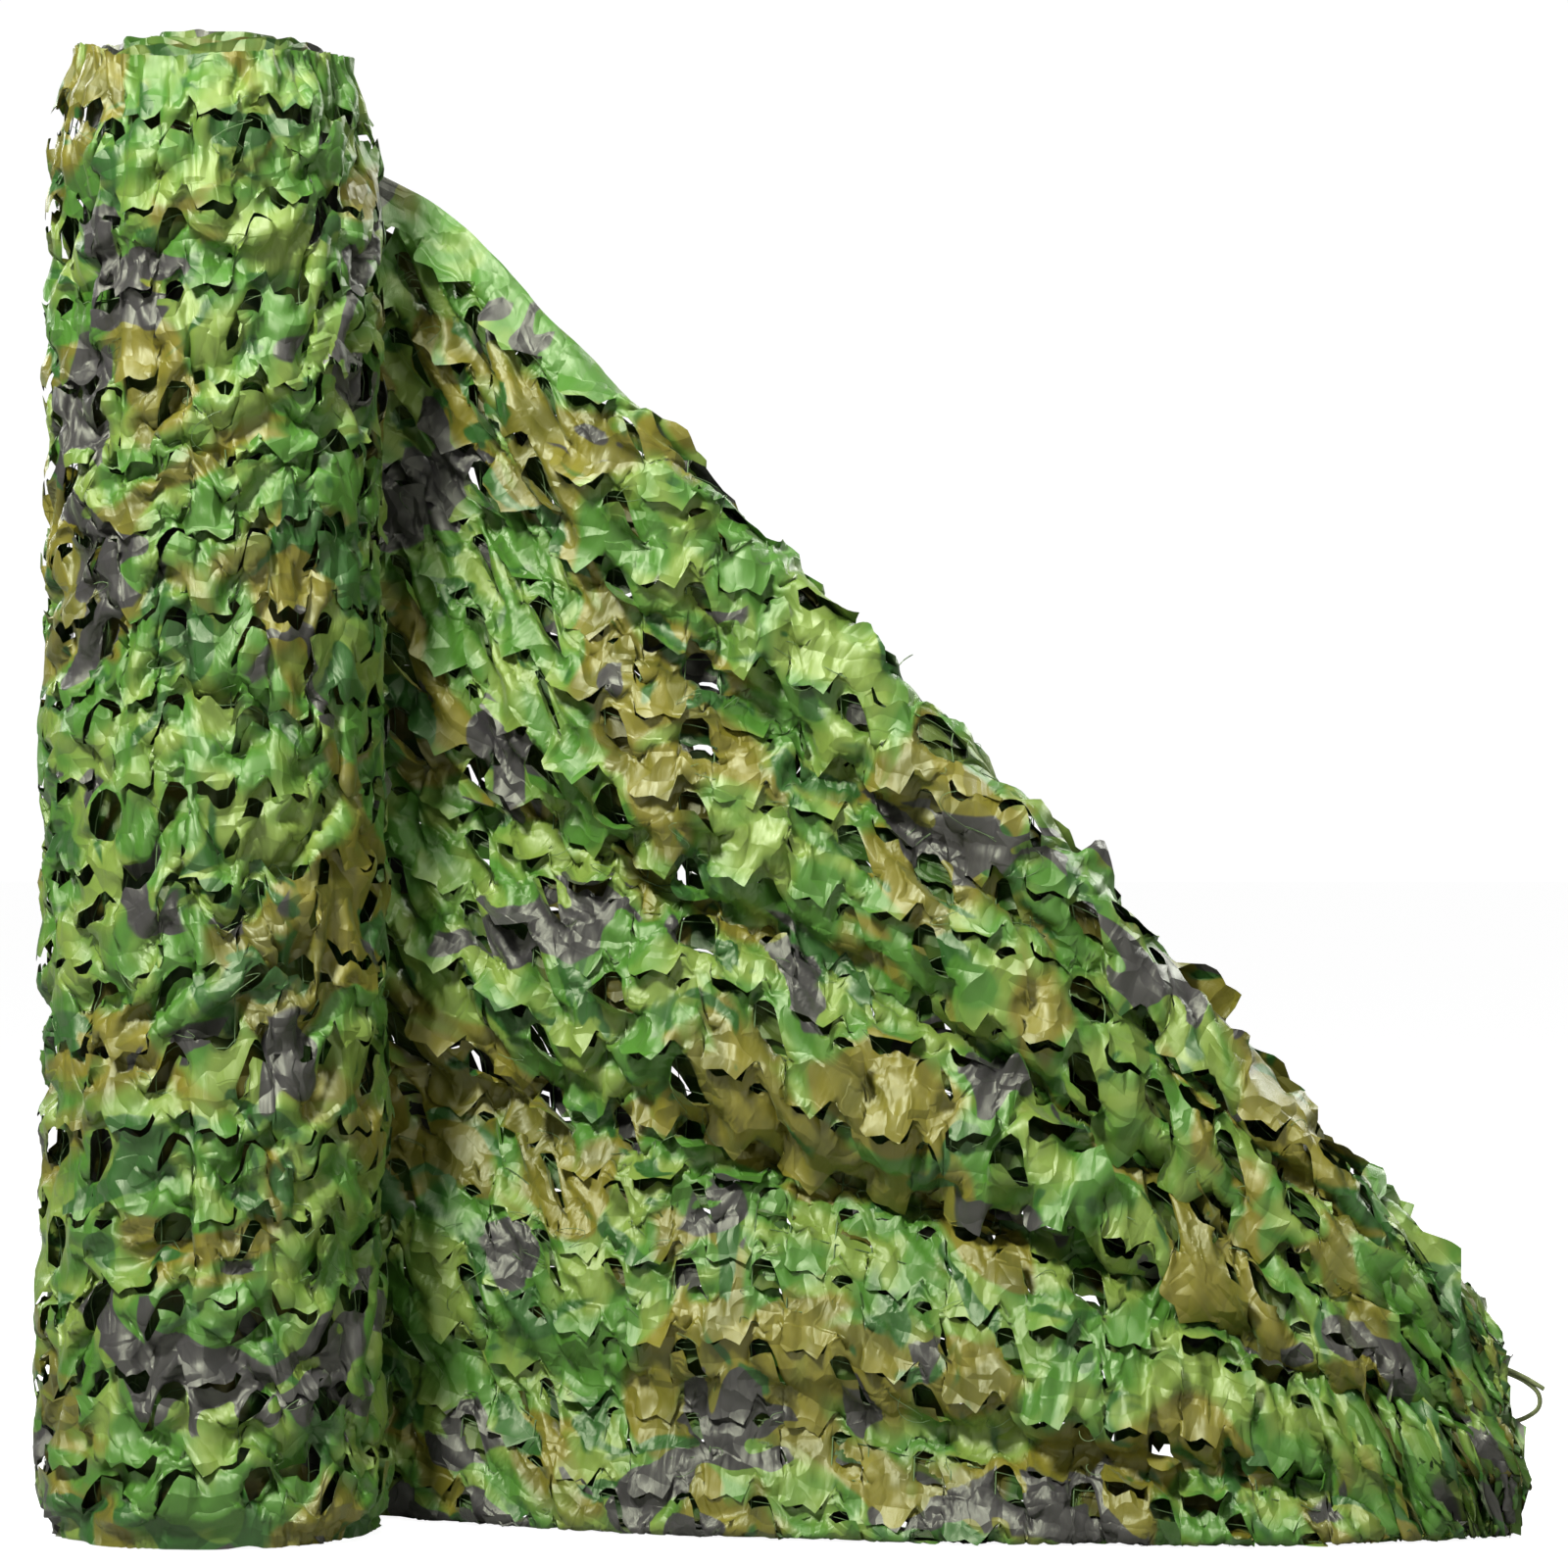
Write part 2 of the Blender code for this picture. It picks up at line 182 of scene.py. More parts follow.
camera = bpy.data.cameras.new("camera")
camera.sensor_width = SENSOR_WIDTH
camera.lens = SENSOR_WIDTH * CAMERA_DISTANCE / VIEW_WIDTH
eye = bpy.data.objects.new("camera", camera)
eye.location = (VIEW_MIDDLE_X, -CAMERA_DISTANCE, VIEW_MIDDLE_Z)
eye.rotation_euler = (math.pi / 2.0, 0.0, 0.0)
bpy.context.scene.collection.objects.link(eye)
bpy.context.scene.camera = eye

# ---- Cord end ----
# A short bend of twisted green cord, part of the net's edge line, that has worked out of the heap.
# Both of its ends stay hidden in the cloth. The line's cut end lies along it and stands out beside it.
CORD_DIAMETER = 0.0048
CORD_POINTS = 40
CORD_GREEN = (0.17, 0.20, 0.075)
# Painted shade in the strands' grooves and a painted highlight on their crests, laid over the twist's
# bumps.
CORD_GROOVE_PAINTED_SHADE = (0.080, 0.110, 0.035, 1.0)
CORD_CREST_PAINTED_HIGHLIGHT = (0.400, 0.460, 0.190, 1.0)
CORD_ROUGHNESS = 0.7
STRAND_SCALE = 14.0
STRAND_WAVER = 1.5
Relief = namedtuple("Relief", "strength height")
STRAND_RELIEF = Relief(0.6, 0.0006)
CordPoint = namedtuple("CordPoint", "x y z")
CORD_ROUTE = (
    CordPoint(0.7150, 0.0190, 0.1640),
    CordPoint(0.7320, 0.0150, 0.1590),
    CordPoint(0.7490, 0.0110, 0.1510),
    CordPoint(0.7620, 0.0110, 0.1390),
    CordPoint(0.7628, 0.0150, 0.1240),
    CordPoint(0.7500, 0.0210, 0.1130),
    CordPoint(0.7320, 0.0260, 0.1070),
    CordPoint(0.7150, 0.0290, 0.1040),
)
CUT_END_ROUTE = (
    CordPoint(0.7150, 0.0165, 0.1685),
    CordPoint(0.7330, 0.0120, 0.1625),
    CordPoint(0.7490, 0.0078, 0.1550),
    CordPoint(0.7600, 0.0066, 0.1485),
    CordPoint(0.7672, 0.0078, 0.1440),
)


def curve_through(places, values, at):
    """Cubic Hermite curve through the values, each slope taken from its neighbours."""
    slope = np.gradient(values, places)
    row = np.clip(np.searchsorted(places, at, side="right") - 1, 0, len(places) - 2)
    gap = places[row + 1] - places[row]
    share = (at - places[row]) / gap
    rest = 1.0 - share
    return (
        values[row] * (1.0 + 2.0 * share) * rest**2
        + slope[row] * gap * share * rest**2
        + values[row + 1] * share**2 * (3.0 - 2.0 * share)
        - slope[row + 1] * gap * share**2 * rest
    )


def ramp(owner, source, low=0.0, high=1.0, first=BLACK, last=WHITE):
    """Colour that runs evenly from the first to the last as the source goes from low to high."""
    node = add_node(owner, "ValToRGB", {"Fac": source})
    for element, place, colour in zip(node.color_ramp.elements, (low, high), (first, last)):
        element.position = place
        element.color = colour
    return node.outputs["Color"]


def raised(owner, relief, height, **under):
    """Normal of a surface raised by a height, on another normal where one is given."""
    values = {"Strength": relief.strength, "Distance": relief.height, "Height": height, **under}
    return add_node(owner, "Bump", values).outputs["Normal"]


def diagonal_bands(owner, place, scale, waver):
    """Slanted bands that rise and fall as a sine wave, bent by a little noise."""
    values = {"Vector": place, "Scale": scale, "Distortion": waver}
    return add_node(owner, "TexWave", values, bands_direction="DIAGONAL").outputs["Fac"]


def cord_material():
    """Twisted strands as slanted bands along the cord's own UV, with painted shade in the grooves
    and a painted highlight on the crests.
    """
    material = plain_material("twisted_cord", CORD_GREEN, CORD_ROUGHNESS)
    place = add_node(material, "UVMap", {}, uv_map="UVMap").outputs["UV"]
    strand = diagonal_bands(material, place, STRAND_SCALE, STRAND_WAVER)
    tint = ramp(material, strand, first=CORD_GROOVE_PAINTED_SHADE, last=CORD_CREST_PAINTED_HIGHLIGHT)
    fill_shader(material, {"Base Color": tint, "Normal": raised(material, STRAND_RELIEF, strand)})
    return material


def make_cord(name, route):
    """Round cord along a smooth curve through the route, a polyline of CORD_POINTS, and its length."""
    places = np.arange(len(route), dtype=float)
    at = np.linspace(0.0, places[-1], CORD_POINTS)
    columns = [curve_through(places, np.array(column), at) for column in zip(*route)]
    points = np.stack(columns, axis=1)
    curve = bpy.data.curves.new(name, "CURVE")
    curve.dimensions = "3D"
    curve.bevel_depth = CORD_DIAMETER / 2.0
    curve.bevel_resolution = 4
    curve.use_fill_caps = True
    spline = curve.splines.new("POLY")
    spline.points.add(len(points) - 1)
    weighted = np.concatenate((points, np.ones((len(points), 1))), axis=1)
    spline.points.foreach_set("co", weighted.ravel())
    curve.materials.append(cord_material())
    cord = bpy.data.objects.new(name, curve)
    bpy.context.scene.collection.objects.link(cord)
    return cord, float(np.linalg.norm(np.diff(points, axis=0), axis=1).sum())


cord_piece, cord_length = make_cord("cord_bend", CORD_ROUTE)
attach(cord_piece, "root")
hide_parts("cord_end")
cut_end, cut_end_length = make_cord("cord_cut_end", CUT_END_ROUTE)
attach(cut_end, "root")

# ---- Net cloth: the roll's outer turn and the loose end ----
# One length of satin-woven printed polyester, slit right through in a repeat of a cup and a crooked
# arch, so that leaf-shaped tongues drop out of it, with a plain selvage along both edges. Its outer
# turn wraps the roll; the rest is drawn off to the right, slumps, and is rolled under in a heap.
NET_WIDTH = 1.500
SELVAGE = 0.034
REPEATS_ACROSS = 17
REPEAT_ACROSS = (NET_WIDTH - 2.0 * SELVAGE) / REPEATS_ACROSS
REPEATS_LOOSE = 17
REPEATS_TURN = 13
REPEAT_ALONG = 0.0868
LOOSE_LENGTH = REPEATS_LOOSE * REPEAT_ALONG
STEPS_ALONG = 18
KERF = 0.0008
CUT_MARGIN = 1e-6
ROWS_UNDER = 6
ROWS_BETWEEN = 6
ROWS_FIRST = 3
ROWS_SELVAGE = 4
ROLL_X = -0.590
ROLL_Y = 0.005
FOOT_RADIUS = 0.158
TOP_RADIUS = 0.144
TOP_NARROW = 0.013
TOP_NARROW_FROM = 1.390
TOP_NARROW_REACH = 0.110
SEAM_ANGLE = math.radians(60)
SEAM_PROUD = 0.005
SEAM_PROUD_ANGLE = 0.9
SEAM_DIVE = 0.004
SEAM_DIVE_ANGLE = 5.2

# The two cuts of a repeat: where along it each is centred and how far it runs each way, its height
# over the repeat's foot at both ends and between them, and its corners: each one's place from the
# centre and its height. All are in metres.
Cut = namedtuple("Cut", "name middle left right left_end right_end between corners")
Corner = namedtuple("Corner", "place height")
CUTS = (
    Cut(
        "arch", 0.0640, 0.0200, 0.0250, 0.0290, 0.0010, 0.0200,
        (
            Corner(-0.0145, 0.0420),
            Corner(-0.0050, 0.0485),
            Corner(0.0050, 0.0520),
            Corner(0.0145, 0.0300),
        ),
    ),
    Cut(
        "cup", 0.0200, 0.0290, 0.0290, 0.0740, 0.0740, 0.0620,
        (
            Corner(-0.0195, 0.0490),
            Corner(-0.0098, 0.0455),
            Corner(0.0045, 0.0545),
            Corner(0.0185, 0.0470),
        ),
    ),
)

# A row for each station along the loose end: its place along the cloth, where the foot stands, where
# the front meets the ridge, the radius of the bend over the ridge, and how much cloth lies past it.
Station = namedtuple("Station", "along foot_x foot_y ridge_x ridge_y ridge_z bend behind")
STATIONS = (
    Station(0.000, -0.509, 0.145, -0.515, 0.134, 1.440, 0.020, 0.00),
    Station(0.085, -0.402, 0.090, -0.394, 0.090, 1.378, 0.020, 0.00),
    Station(0.225, -0.235, -0.002, -0.222, 0.030, 1.214, 0.020, 0.03),
    Station(0.410, -0.005, -0.078, 0.008, 0.000, 0.976, 0.024, 0.22),
    Station(0.580, 0.220, -0.114, 0.225, -0.016, 0.758, 0.030, 0.42),
    Station(0.725, 0.402, -0.128, 0.398, -0.030, 0.562, 0.040, 0.58),
    Station(0.840, 0.548, -0.124, 0.537, -0.034, 0.404, 0.050, 0.56),
    Station(0.917, 0.650, -0.104, 0.632, -0.026, 0.318, 0.055, 0.50),
    Station(0.968, 0.715, -0.078, 0.698, -0.014, 0.262, 0.047, 0.42),
    Station(1.000, 0.740, -0.060, 0.730, -0.004, 0.218, 0.036, 0.33),
)
OUTWARD_STEP = 0.02
TURN_IN_SHARE = 0.80
FLOOR_CLEAR = 0.006
BACK_FLARE = 0.10
ROOT_CALM = 0.12
FULL_DEPTH_HEIGHT = 0.520
HEAP_START = 0.80
HEAP_REACH = 0.12
HEAP_BELLY = 0.018
SWAY = 0.012
SWAY_RISE = 0.25
SWAY_ALONG = 21.0
SWAY_UP = 2.6
SECTION_STEPS = 240

# A row for each fold that runs across the loose end. Heights and widths are shares of the ridge's
# height, at the roll and at the free end; depth is how far it tucks in, sag how far its lip hangs over.
Fold = namedtuple("Fold", "name root_height end_height root_width end_width root_depth end_depth sag")
FOLDS = (
    Fold("foot", 0.115, 0.170, 0.035, 0.060, 0.016, 0.040, 0.35),
    Fold("ledge", 0.320, 0.540, 0.055, 0.090, 0.030, 0.110, 0.70),
    Fold("middle", 0.550, 0.740, 0.050, 0.070, 0.022, 0.085, 0.60),
    Fold("upper", 0.800, 0.900, 0.045, 0.050, 0.012, 0.050, 0.50),
)
FOLD_VARIES = 0.25
FOLD_WAVE = 17.0
FOLD_PHASE = 40.0
LIP_OUT = 0.4
LIP_ABOVE = 1.6
LIP_WIDTH = 1.2
SAG_ABOVE = 1.1

# How the cloth is laid out along the drape: metres of cloth from the roll, and the share of the way to
# the free end where that much lies. It is gathered most beside the roll and in the end of the heap.
Lay = namedtuple("Lay", "cloth share")
LAY = (
    Lay(0.000, 0.000),
    Lay(0.100, 0.046),
    Lay(0.150, 0.081),
    Lay(0.350, 0.224),
    Lay(0.600, 0.402),
    Lay(0.850, 0.581),
    Lay(1.050, 0.722),
    Lay(1.200, 0.824),
    Lay(1.320, 0.902),
    Lay(1.420, 0.965),
    Lay(1.4756, 1.000),
)
ROW_SLOPE = 0.20
GATHER_LEAST = 0.92
EVEN_LEAST = 0.95
EVEN_MOST = 1.12
TUCK_DEPTH = 0.080
TUCK_LAYER = 0.0025
TUCK_LOWEST = 0.002
TUCK_BACK = 0.004
TUCK_BACK_REACH = 0.01
TUCK_ROUNDING = 0.02
TUCK_START = 0.05
# Keys of neighbouring columns lie this far apart where one interpolation takes all the columns.
KEY_STEP = 2.0

# Noise: how the lattices are shifted, and how that of the facets is bent and slanted.
LATTICE_SHIFT = (7.3, 3.1)
FACET_SHIFT = (9.1, 9.4)
FACET_BEND = 0.35
FACET_BEND_SIZE = 2.3
FACET_BEND_SEEDS = (100, 200)
FACET_SLANT = (0.33, 0.21)
FACET_LIFT = 0.25

# How tongues stand. A stance's angle off the cloth, in degrees, and its push, a share of the full
# one, are each a first number and a random share of a second. On the roll tongues take the wound
# stance, and a few are turned in. In the loose end the share given takes the first stance, and the
# rest the second.
Stance = namedtuple("Stance", "angle angle_more push push_more")
Habit = namedtuple("Habit", "wound share first second")
HABITS = {
    "arch": Habit(
        wound=Stance(16.0, 34.0, 0.3, 1.0),
        share=0.55,
        first=Stance(12.0, 40.0, 0.4, 1.2),
        second=Stance(-6.0, -14.0, -0.3, -0.5),
    ),
    "cup": Habit(
        wound=Stance(11.0, 30.0, 0.3, 1.0),
        share=0.10,
        first=Stance(65.0, 0.0, 1.6, 0.0),
        second=Stance(14.0, 32.0, 0.3, 1.1),
    ),
}
TURNED_IN_SHARE = 0.15
TURNED_IN_ANGLE = -0.3
TURNED_IN_PUSH = -0.4
STRENGTH_LEAST = 0.45
LIFT_REACH = 0.012
CURL = 6.0
CURL_MIDDLE = 0.35
APART = 0.0012
APART_REACH = 0.008

# A row for each kind of join that the relaxation keeps: how many rows down and columns right its far
# end lies, and how much of its misfit each end takes up in a step. The last four kinds only push
# apart, once they are shorter than the least share of their flat length.
Join = namedtuple("Join", "down right share least")
JOINS = (
    Join(0, 1, 0.5, 0.0),
    Join(1, 0, 0.5, 0.0),
    Join(1, 1, 0.18, 0.0),
    Join(1, -1, 0.18, 0.0),
    Join(0, 2, 0.10, 0.95),
    Join(2, 0, 0.10, 0.95),
    Join(0, 4, 0.05, 0.86),
    Join(4, 0, 0.05, 0.86),
)
SETTLE_STEPS = 160
# Added where a length, or a sum whose sign is read, could be nothing.
TINY = 1e-12
TINY_LENGTH = 1e-7
TINY_SIGN = 1e-9


def ease(value):
    """Smooth step: 0 below 0, 1 above 1, level at both ends."""
    value = np.clip(value, 0.0, 1.0)
    return value * value * (3.0 - 2.0 * value)


def past(value, edge, reach):
    """0 up to an edge and 1 from a reach beyond it, eased between."""
    return ease((value - edge) / reach)


def short_of(value, edge, reach):
    """0 from an edge on and 1 up to a reach short of it, eased between."""
    return ease((edge - value) / reach)


def between(first, last, share):
    """Value a share of the way from the first to the last."""
    return first + (last - first) * share


def bell(offset, width):
    """Bell curve: the exponential of minus the square of the offset over the width."""
    return np.exp(-((offset / width) ** 2))


def unit(vectors):
    """Vectors over their own lengths."""
    return vectors / (np.linalg.norm(vectors, axis=-1)[..., None] + TINY)


def around(place, middle, repeat):
    """Offset of each place from the nearest of the middles that lie a repeat apart."""
    return (place - middle + 0.5 * repeat) % repeat - 0.5 * repeat


def cut_height(cut, along):
    """Height of a cut's line over the repeat's foot: straight between corners, eased back beyond."""
    offset = around(along, cut.middle, REPEAT_ALONG)
    side = np.where(offset < 0.0, cut.left, cut.right)
    places = (-cut.left, *[corner.place for corner in cut.corners], cut.right)
    heights = (cut.left_end, *[corner.height for corner in cut.corners], cut.right_end)
    run = np.interp(offset, places, heights)
    return between(run, cut.between, past(np.abs(offset), side, 0.5 * REPEAT_ALONG - side))


def in_cut(cut, along):
    """Whether each place along the cloth is within a cut's run."""
    offset = around(along, cut.middle, REPEAT_ALONG)
    return (offset > -cut.left - CUT_MARGIN) & (offset < cut.right + CUT_MARGIN)


def flat_cloth(repeats, steps_along, rows_under, rows_between):
    """Flat net as a grid whose rows bend along the cuts: each cut lies between two rows a kerf apart.

    Returns the place along and across of every point, and which joins from a row to the next are cut.
    """
    columns = repeats * steps_along + 1
    along = np.arange(columns) * REPEAT_ALONG / steps_along
    arch, cup = CUTS
    whole = np.zeros(columns, bool)
    lines = [np.zeros(columns), np.full(columns, SELVAGE)]
    counts = [ROWS_SELVAGE]
    opens = [whole]
    for repeat in range(REPEATS_ACROSS):
        foot = SELVAGE + repeat * REPEAT_ACROSS
        low = foot + cut_height(arch, along)
        high = foot + cut_height(cup, along)
        lines += [low, low + KERF, high, high + KERF]
        counts += [ROWS_FIRST if repeat == 0 else rows_between, 1, rows_under, 1]
        opens += [whole, in_cut(arch, along), whole, in_cut(cup, along)]
    lines += [np.full(columns, NET_WIDTH - SELVAGE), np.full(columns, NET_WIDTH)]
    counts += [ROWS_FIRST, ROWS_SELVAGE]
    opens += [whole, whole]
    rows = [lines[0][None, :]]
    cut = []
    for low, high, count, is_open in zip(lines, lines[1:], counts, opens):
        rows.append(between(low, high, (np.arange(count) + 1.0)[:, None] / count))
        cut += [is_open] * count
    across = np.concatenate(rows, axis=0)
    return np.repeat(along[None, :], len(across), axis=0), across, np.array(cut)


Leaves = namedtuple("Leaves", "inside reach tilt draw")


def tongues(along, across, seed):
    """Per cut: which points lie on its tongues, how far from the root, its root's tilt, random numbers.

    A cup's tongue hangs from the line between the cup's ends and reaches down to the cut; an arch's
    stands up from the line between the arch's ends. All points of a leaf have its random numbers.
    """
    arch, cup = CUTS
    chance = np.random.default_rng(seed)
    inner = (across - SELVAGE) / REPEAT_ACROSS
    row = np.clip(np.floor(inner), 0, REPEATS_ACROSS - 1).astype(int)
    column_count = int(round(along.max() / REPEAT_ALONG)) + 3
    found = {}
    for cut, way in ((arch, 1.0), (cup, -1.0)):
        column = np.round((along - cut.middle) / REPEAT_ALONG).astype(int) + 1
        offset = along - cut.middle - (column - 1) * REPEAT_ALONG
        level = across - SELVAGE - row * REPEAT_ACROSS
        span = cut.left + cut.right
        root = cut.left_end + (cut.right_end - cut.left_end) * (offset + cut.left) / span
        line = cut_height(cut, along) + 0.5 * KERF
        inside = (offset > -cut.left) & (offset < cut.right)
        if way > 0.0:
            inside &= (level > root) & (level < line)
        else:
            inside &= (level < root) & (level > line)
        tilt = math.atan2(cut.right_end - cut.left_end, span)
        reach = np.where(inside, np.abs(level - root) * math.cos(tilt), 0.0)
        draw = chance.random((3, REPEATS_ACROSS, column_count))
        draw = draw[:, row, np.clip(column, 0, column_count - 1)]
        found[cut.name] = Leaves(inside, reach, tilt, draw)
    return found


def station_value(field, along):
    """Value of a field of the stations at any place along, read from a smooth curve through them."""
    places = np.array([row.along for row in STATIONS])
    values = np.array([getattr(row, field) for row in STATIONS])
    return curve_through(places, values, along)


def section_path(along, arc):
    """Distance back from the front and height of a section, a length of arc up from the foot.

    The section climbs straight, bends over the ridge through a half circle, hangs down behind nearly
    to the floor, and there turns forward through a quarter circle and runs on under the heap.
    """
    bend = station_value("bend", along)
    front = station_value("ridge_z", along) - bend
    turn_in = TURN_IN_SHARE * bend
    drop = front - turn_in - FLOOR_CLEAR
    over = np.clip(arc - front, 0.0, math.pi * bend)
    down = np.clip(arc - front - math.pi * bend, 0.0, drop)
    inward = np.clip(arc - front - math.pi * bend - drop, 0.0, math.pi / 2.0 * turn_in)
    forward = np.maximum(arc - front - math.pi * bend - drop - math.pi / 2.0 * turn_in, 0.0)
    back = bend * (1.0 - np.cos(over / bend)) + BACK_FLARE * down
    back = back - turn_in * (1.0 - np.cos(inward / turn_in)) - forward
    level = np.minimum(arc, front) + bend * np.sin(over / bend) - down
    return back, level - turn_in * np.sin(inward / turn_in)


def outward(along):
    """Level direction that the loose end's front faces, square to its path in plan."""
    before = np.clip(along - OUTWARD_STEP, 0.0, 1.0)
    after = np.clip(along + OUTWARD_STEP, 0.0, 1.0)
    run_x = np.zeros_like(along)
    run_y = np.zeros_like(along)
    for part in ("foot", "ridge"):
        run_x = run_x + station_value(part + "_x", after) - station_value(part + "_x", before)
        run_y = run_y + station_value(part + "_y", after) - station_value(part + "_y", before)
    length = np.hypot(run_x, run_y)
    return run_y / length, -run_x / length


def section_point(along, rise):
    """Point of the draped cloth at a place along it and a rise, its share of the ridge's height.

    Each fold tucks the section in by a bell curve and lets the lip above it sag over the tuck.
    """
    height = station_value("ridge_z", along)
    back, level = section_path(along, rise * height)
    calm = ease(along / ROOT_CALM)
    small = np.minimum(1.0, height / FULL_DEPTH_HEIGHT)
    lean = np.minimum(rise, 1.0)
    reach = HEAP_BELLY * past(along, HEAP_START, HEAP_REACH) * np.sin(math.pi * lean) - back
    reach = reach + SWAY * calm * ease(rise / SWAY_RISE) * np.sin(along * SWAY_ALONG + rise * SWAY_UP)
    for fold in FOLDS:
        middle = between(fold.root_height, fold.end_height, along)
        width = between(fold.root_width, fold.end_width, along)
        depth = between(fold.root_depth, fold.end_depth, along) * calm * small
        depth = depth * (1.0 + FOLD_VARIES * np.sin(along * FOLD_WAVE + fold.root_height * FOLD_PHASE))
        reach = reach - depth * bell(rise - middle, width)
        reach = reach + LIP_OUT * depth * bell(rise - middle - LIP_ABOVE * width, LIP_WIDTH * width)
        level = level - fold.sag * depth * bell(rise - middle - SAG_ABOVE * width, width)
    place = []
    for axis, face in zip("xy", outward(along)):
        foot = station_value("foot_" + axis, along)
        ridge = station_value("ridge_" + axis, along)
        place.append(between(foot, ridge, lean) + face * reach)
    return np.stack((*place, np.maximum(level, 0.0)), axis=-1)


def drape_loose(cloth, across):
    """Loose cloth laid on its sections, the place of each column from the lay table.

    The cloth's rows slope down away from the roll, so that its foot runs on under the drape, where it
    lies folded to and fro. The columns' lengths are laid end to end, so one interpolation places all.
    Also returns which points lie folded under.
    """
    places = np.array([row.cloth for row in LAY])
    share = curve_through(places, np.array([row.share for row in LAY]), cloth[0])
    share = np.clip(share, 0.0, 1.0)
    height = station_value("ridge_z", share)
    beyond = np.maximum(station_value("behind", share) - station_value("bend", share), 0.0)
    top = 1.0 + beyond / height
    rise = np.linspace(0.0, 1.0, SECTION_STEPS)[None, :] * top[:, None]
    points = section_point(np.repeat(share[:, None], SECTION_STEPS, axis=1), rise)
    steps = np.linalg.norm(np.diff(points, axis=1), axis=2)
    length = np.concatenate((np.zeros((len(share), 1)), np.cumsum(steps, axis=1)), axis=1)
    whole = length[:, -1]
    sloped = ROW_SLOPE * cloth[0] / TUCK_ROUNDING
    spare = (NET_WIDTH - whole / GATHER_LEAST) / TUCK_ROUNDING
    tuck = np.logaddexp(sloped, spare) * TUCK_ROUNDING
    tuck = tuck * ease(cloth[0] / TUCK_START)
    above = across - tuck[None, :]
    part = np.clip(above / (NET_WIDTH - tuck)[None, :], 0.0, 1.0)
    even = np.clip((NET_WIDTH - tuck) / whole, EVEN_LEAST, EVEN_MOST)
    part = part + (even - 1.0)[None, :] * part * (1.0 - part) ** 2
    wanted = (part + KEY_STEP * np.arange(len(share))[None, :]).ravel()
    key = (length / length[:, -1:] + KEY_STEP * np.arange(len(share))[:, None]).ravel()
    placed = [np.interp(wanted, key, points[..., axis].ravel()) for axis in range(3)]
    placed = np.stack(placed, axis=-1).reshape(*across.shape, 3)
    under = np.maximum(-above, 0.0)
    tucked = under > 0.0
    leg = np.abs((under / TUCK_DEPTH + 1.0) % 2.0 - 1.0)
    inward = TUCK_DEPTH * leg + TUCK_BACK * ease(under / TUCK_BACK_REACH)
    for axis, face in enumerate(outward(share)):
        placed[..., axis] -= face[None, :] * inward
    layer = TUCK_LOWEST + TUCK_LAYER * np.floor(under / TUCK_DEPTH)
    placed[..., 2] = np.where(tucked, layer, placed[..., 2])
    return placed, tucked


def roll_radius(level):
    """Radius that shrinks evenly from foot to top, and near the top by TOP_NARROW more."""
    even = between(FOOT_RADIUS, TOP_RADIUS, level / NET_WIDTH)
    return even - TOP_NARROW * past(level, TOP_NARROW_FROM, TOP_NARROW_REACH)


def wrap_turn(turned, level):
    """Points round the roll, turned by an angle from the seam, where the turn stands a little proud."""
    angle = SEAM_ANGLE + turned
    radius = roll_radius(level) + SEAM_PROUD * (1.0 - ease(turned / SEAM_PROUD_ANGLE))
    radius = radius - SEAM_DIVE * ease(turned - SEAM_DIVE_ANGLE)
    return np.stack((ROLL_X + radius * np.cos(angle), ROLL_Y + radius * np.sin(angle), level), axis=-1)


def grid_normals(points):
    """Unit normal at each grid point, from its neighbours' cross product, towards the outside."""
    return unit(np.cross(np.gradient(points, axis=1), np.gradient(points, axis=0)))


def lattice_corners(first, second, seed):
    """Random values, -1 to 1, at the four whole numbers round each place: near, right, above and far.

    The place's offsets from the near one follow.
    """
    chance = np.random.default_rng(seed)
    low_first = np.floor(first).astype(int)
    low_second = np.floor(second).astype(int)
    grid = chance.random((low_first.max() + 3, low_second.max() + 3)) * 2.0 - 1.0
    values = [grid[low_first + right, low_second + above] for above in (0, 1) for right in (0, 1)]
    return (*values, first - low_first, second - low_second)


def value_noise(along, across, size, seed):
    """Smooth random heights, -1 to 1: random values on a square lattice of a size, eased between."""
    first = along / size + LATTICE_SHIFT[0]
    second = across / size + LATTICE_SHIFT[1]
    near, right, above, far, one, two = lattice_corners(first, second, seed)
    one = ease(one)
    two = ease(two)
    low = near * (1.0 - one) + right * one
    high = above * (1.0 - one) + far * one
    return low * (1.0 - two) + high * two


def facet_noise(along, across, size, seed):
    """Random heights, -1 to 1, joined by flat triangles on a bent lattice of a size: creased cloth."""
    bends = [
        FACET_BEND * size * value_noise(along, across, FACET_BEND_SIZE * size, seed + more)
        for more in FACET_BEND_SEEDS
    ]
    first = (along + bends[0]) / size + FACET_SHIFT[0]
    second = (across + bends[1]) / size + FACET_SHIFT[1]
    slanted = second - FACET_SLANT[1] * first + FACET_LIFT * first.max()
    first = first + FACET_SLANT[0] * second
    near, right, above, far, one, two = lattice_corners(first, slanted, seed)
    lower = near + one * (right - near) + two * (above - near)
    upper = far + (1.0 - one) * (above - far) + (1.0 - two) * (right - far)
    return np.where(one + two < 1.0, lower, upper)


def stance_at(stance, random):
    """Angle, in radians, and push of a stance for each random number."""
    angle = stance.angle + stance.angle_more * random
    return np.radians(angle), stance.push + stance.push_more * random


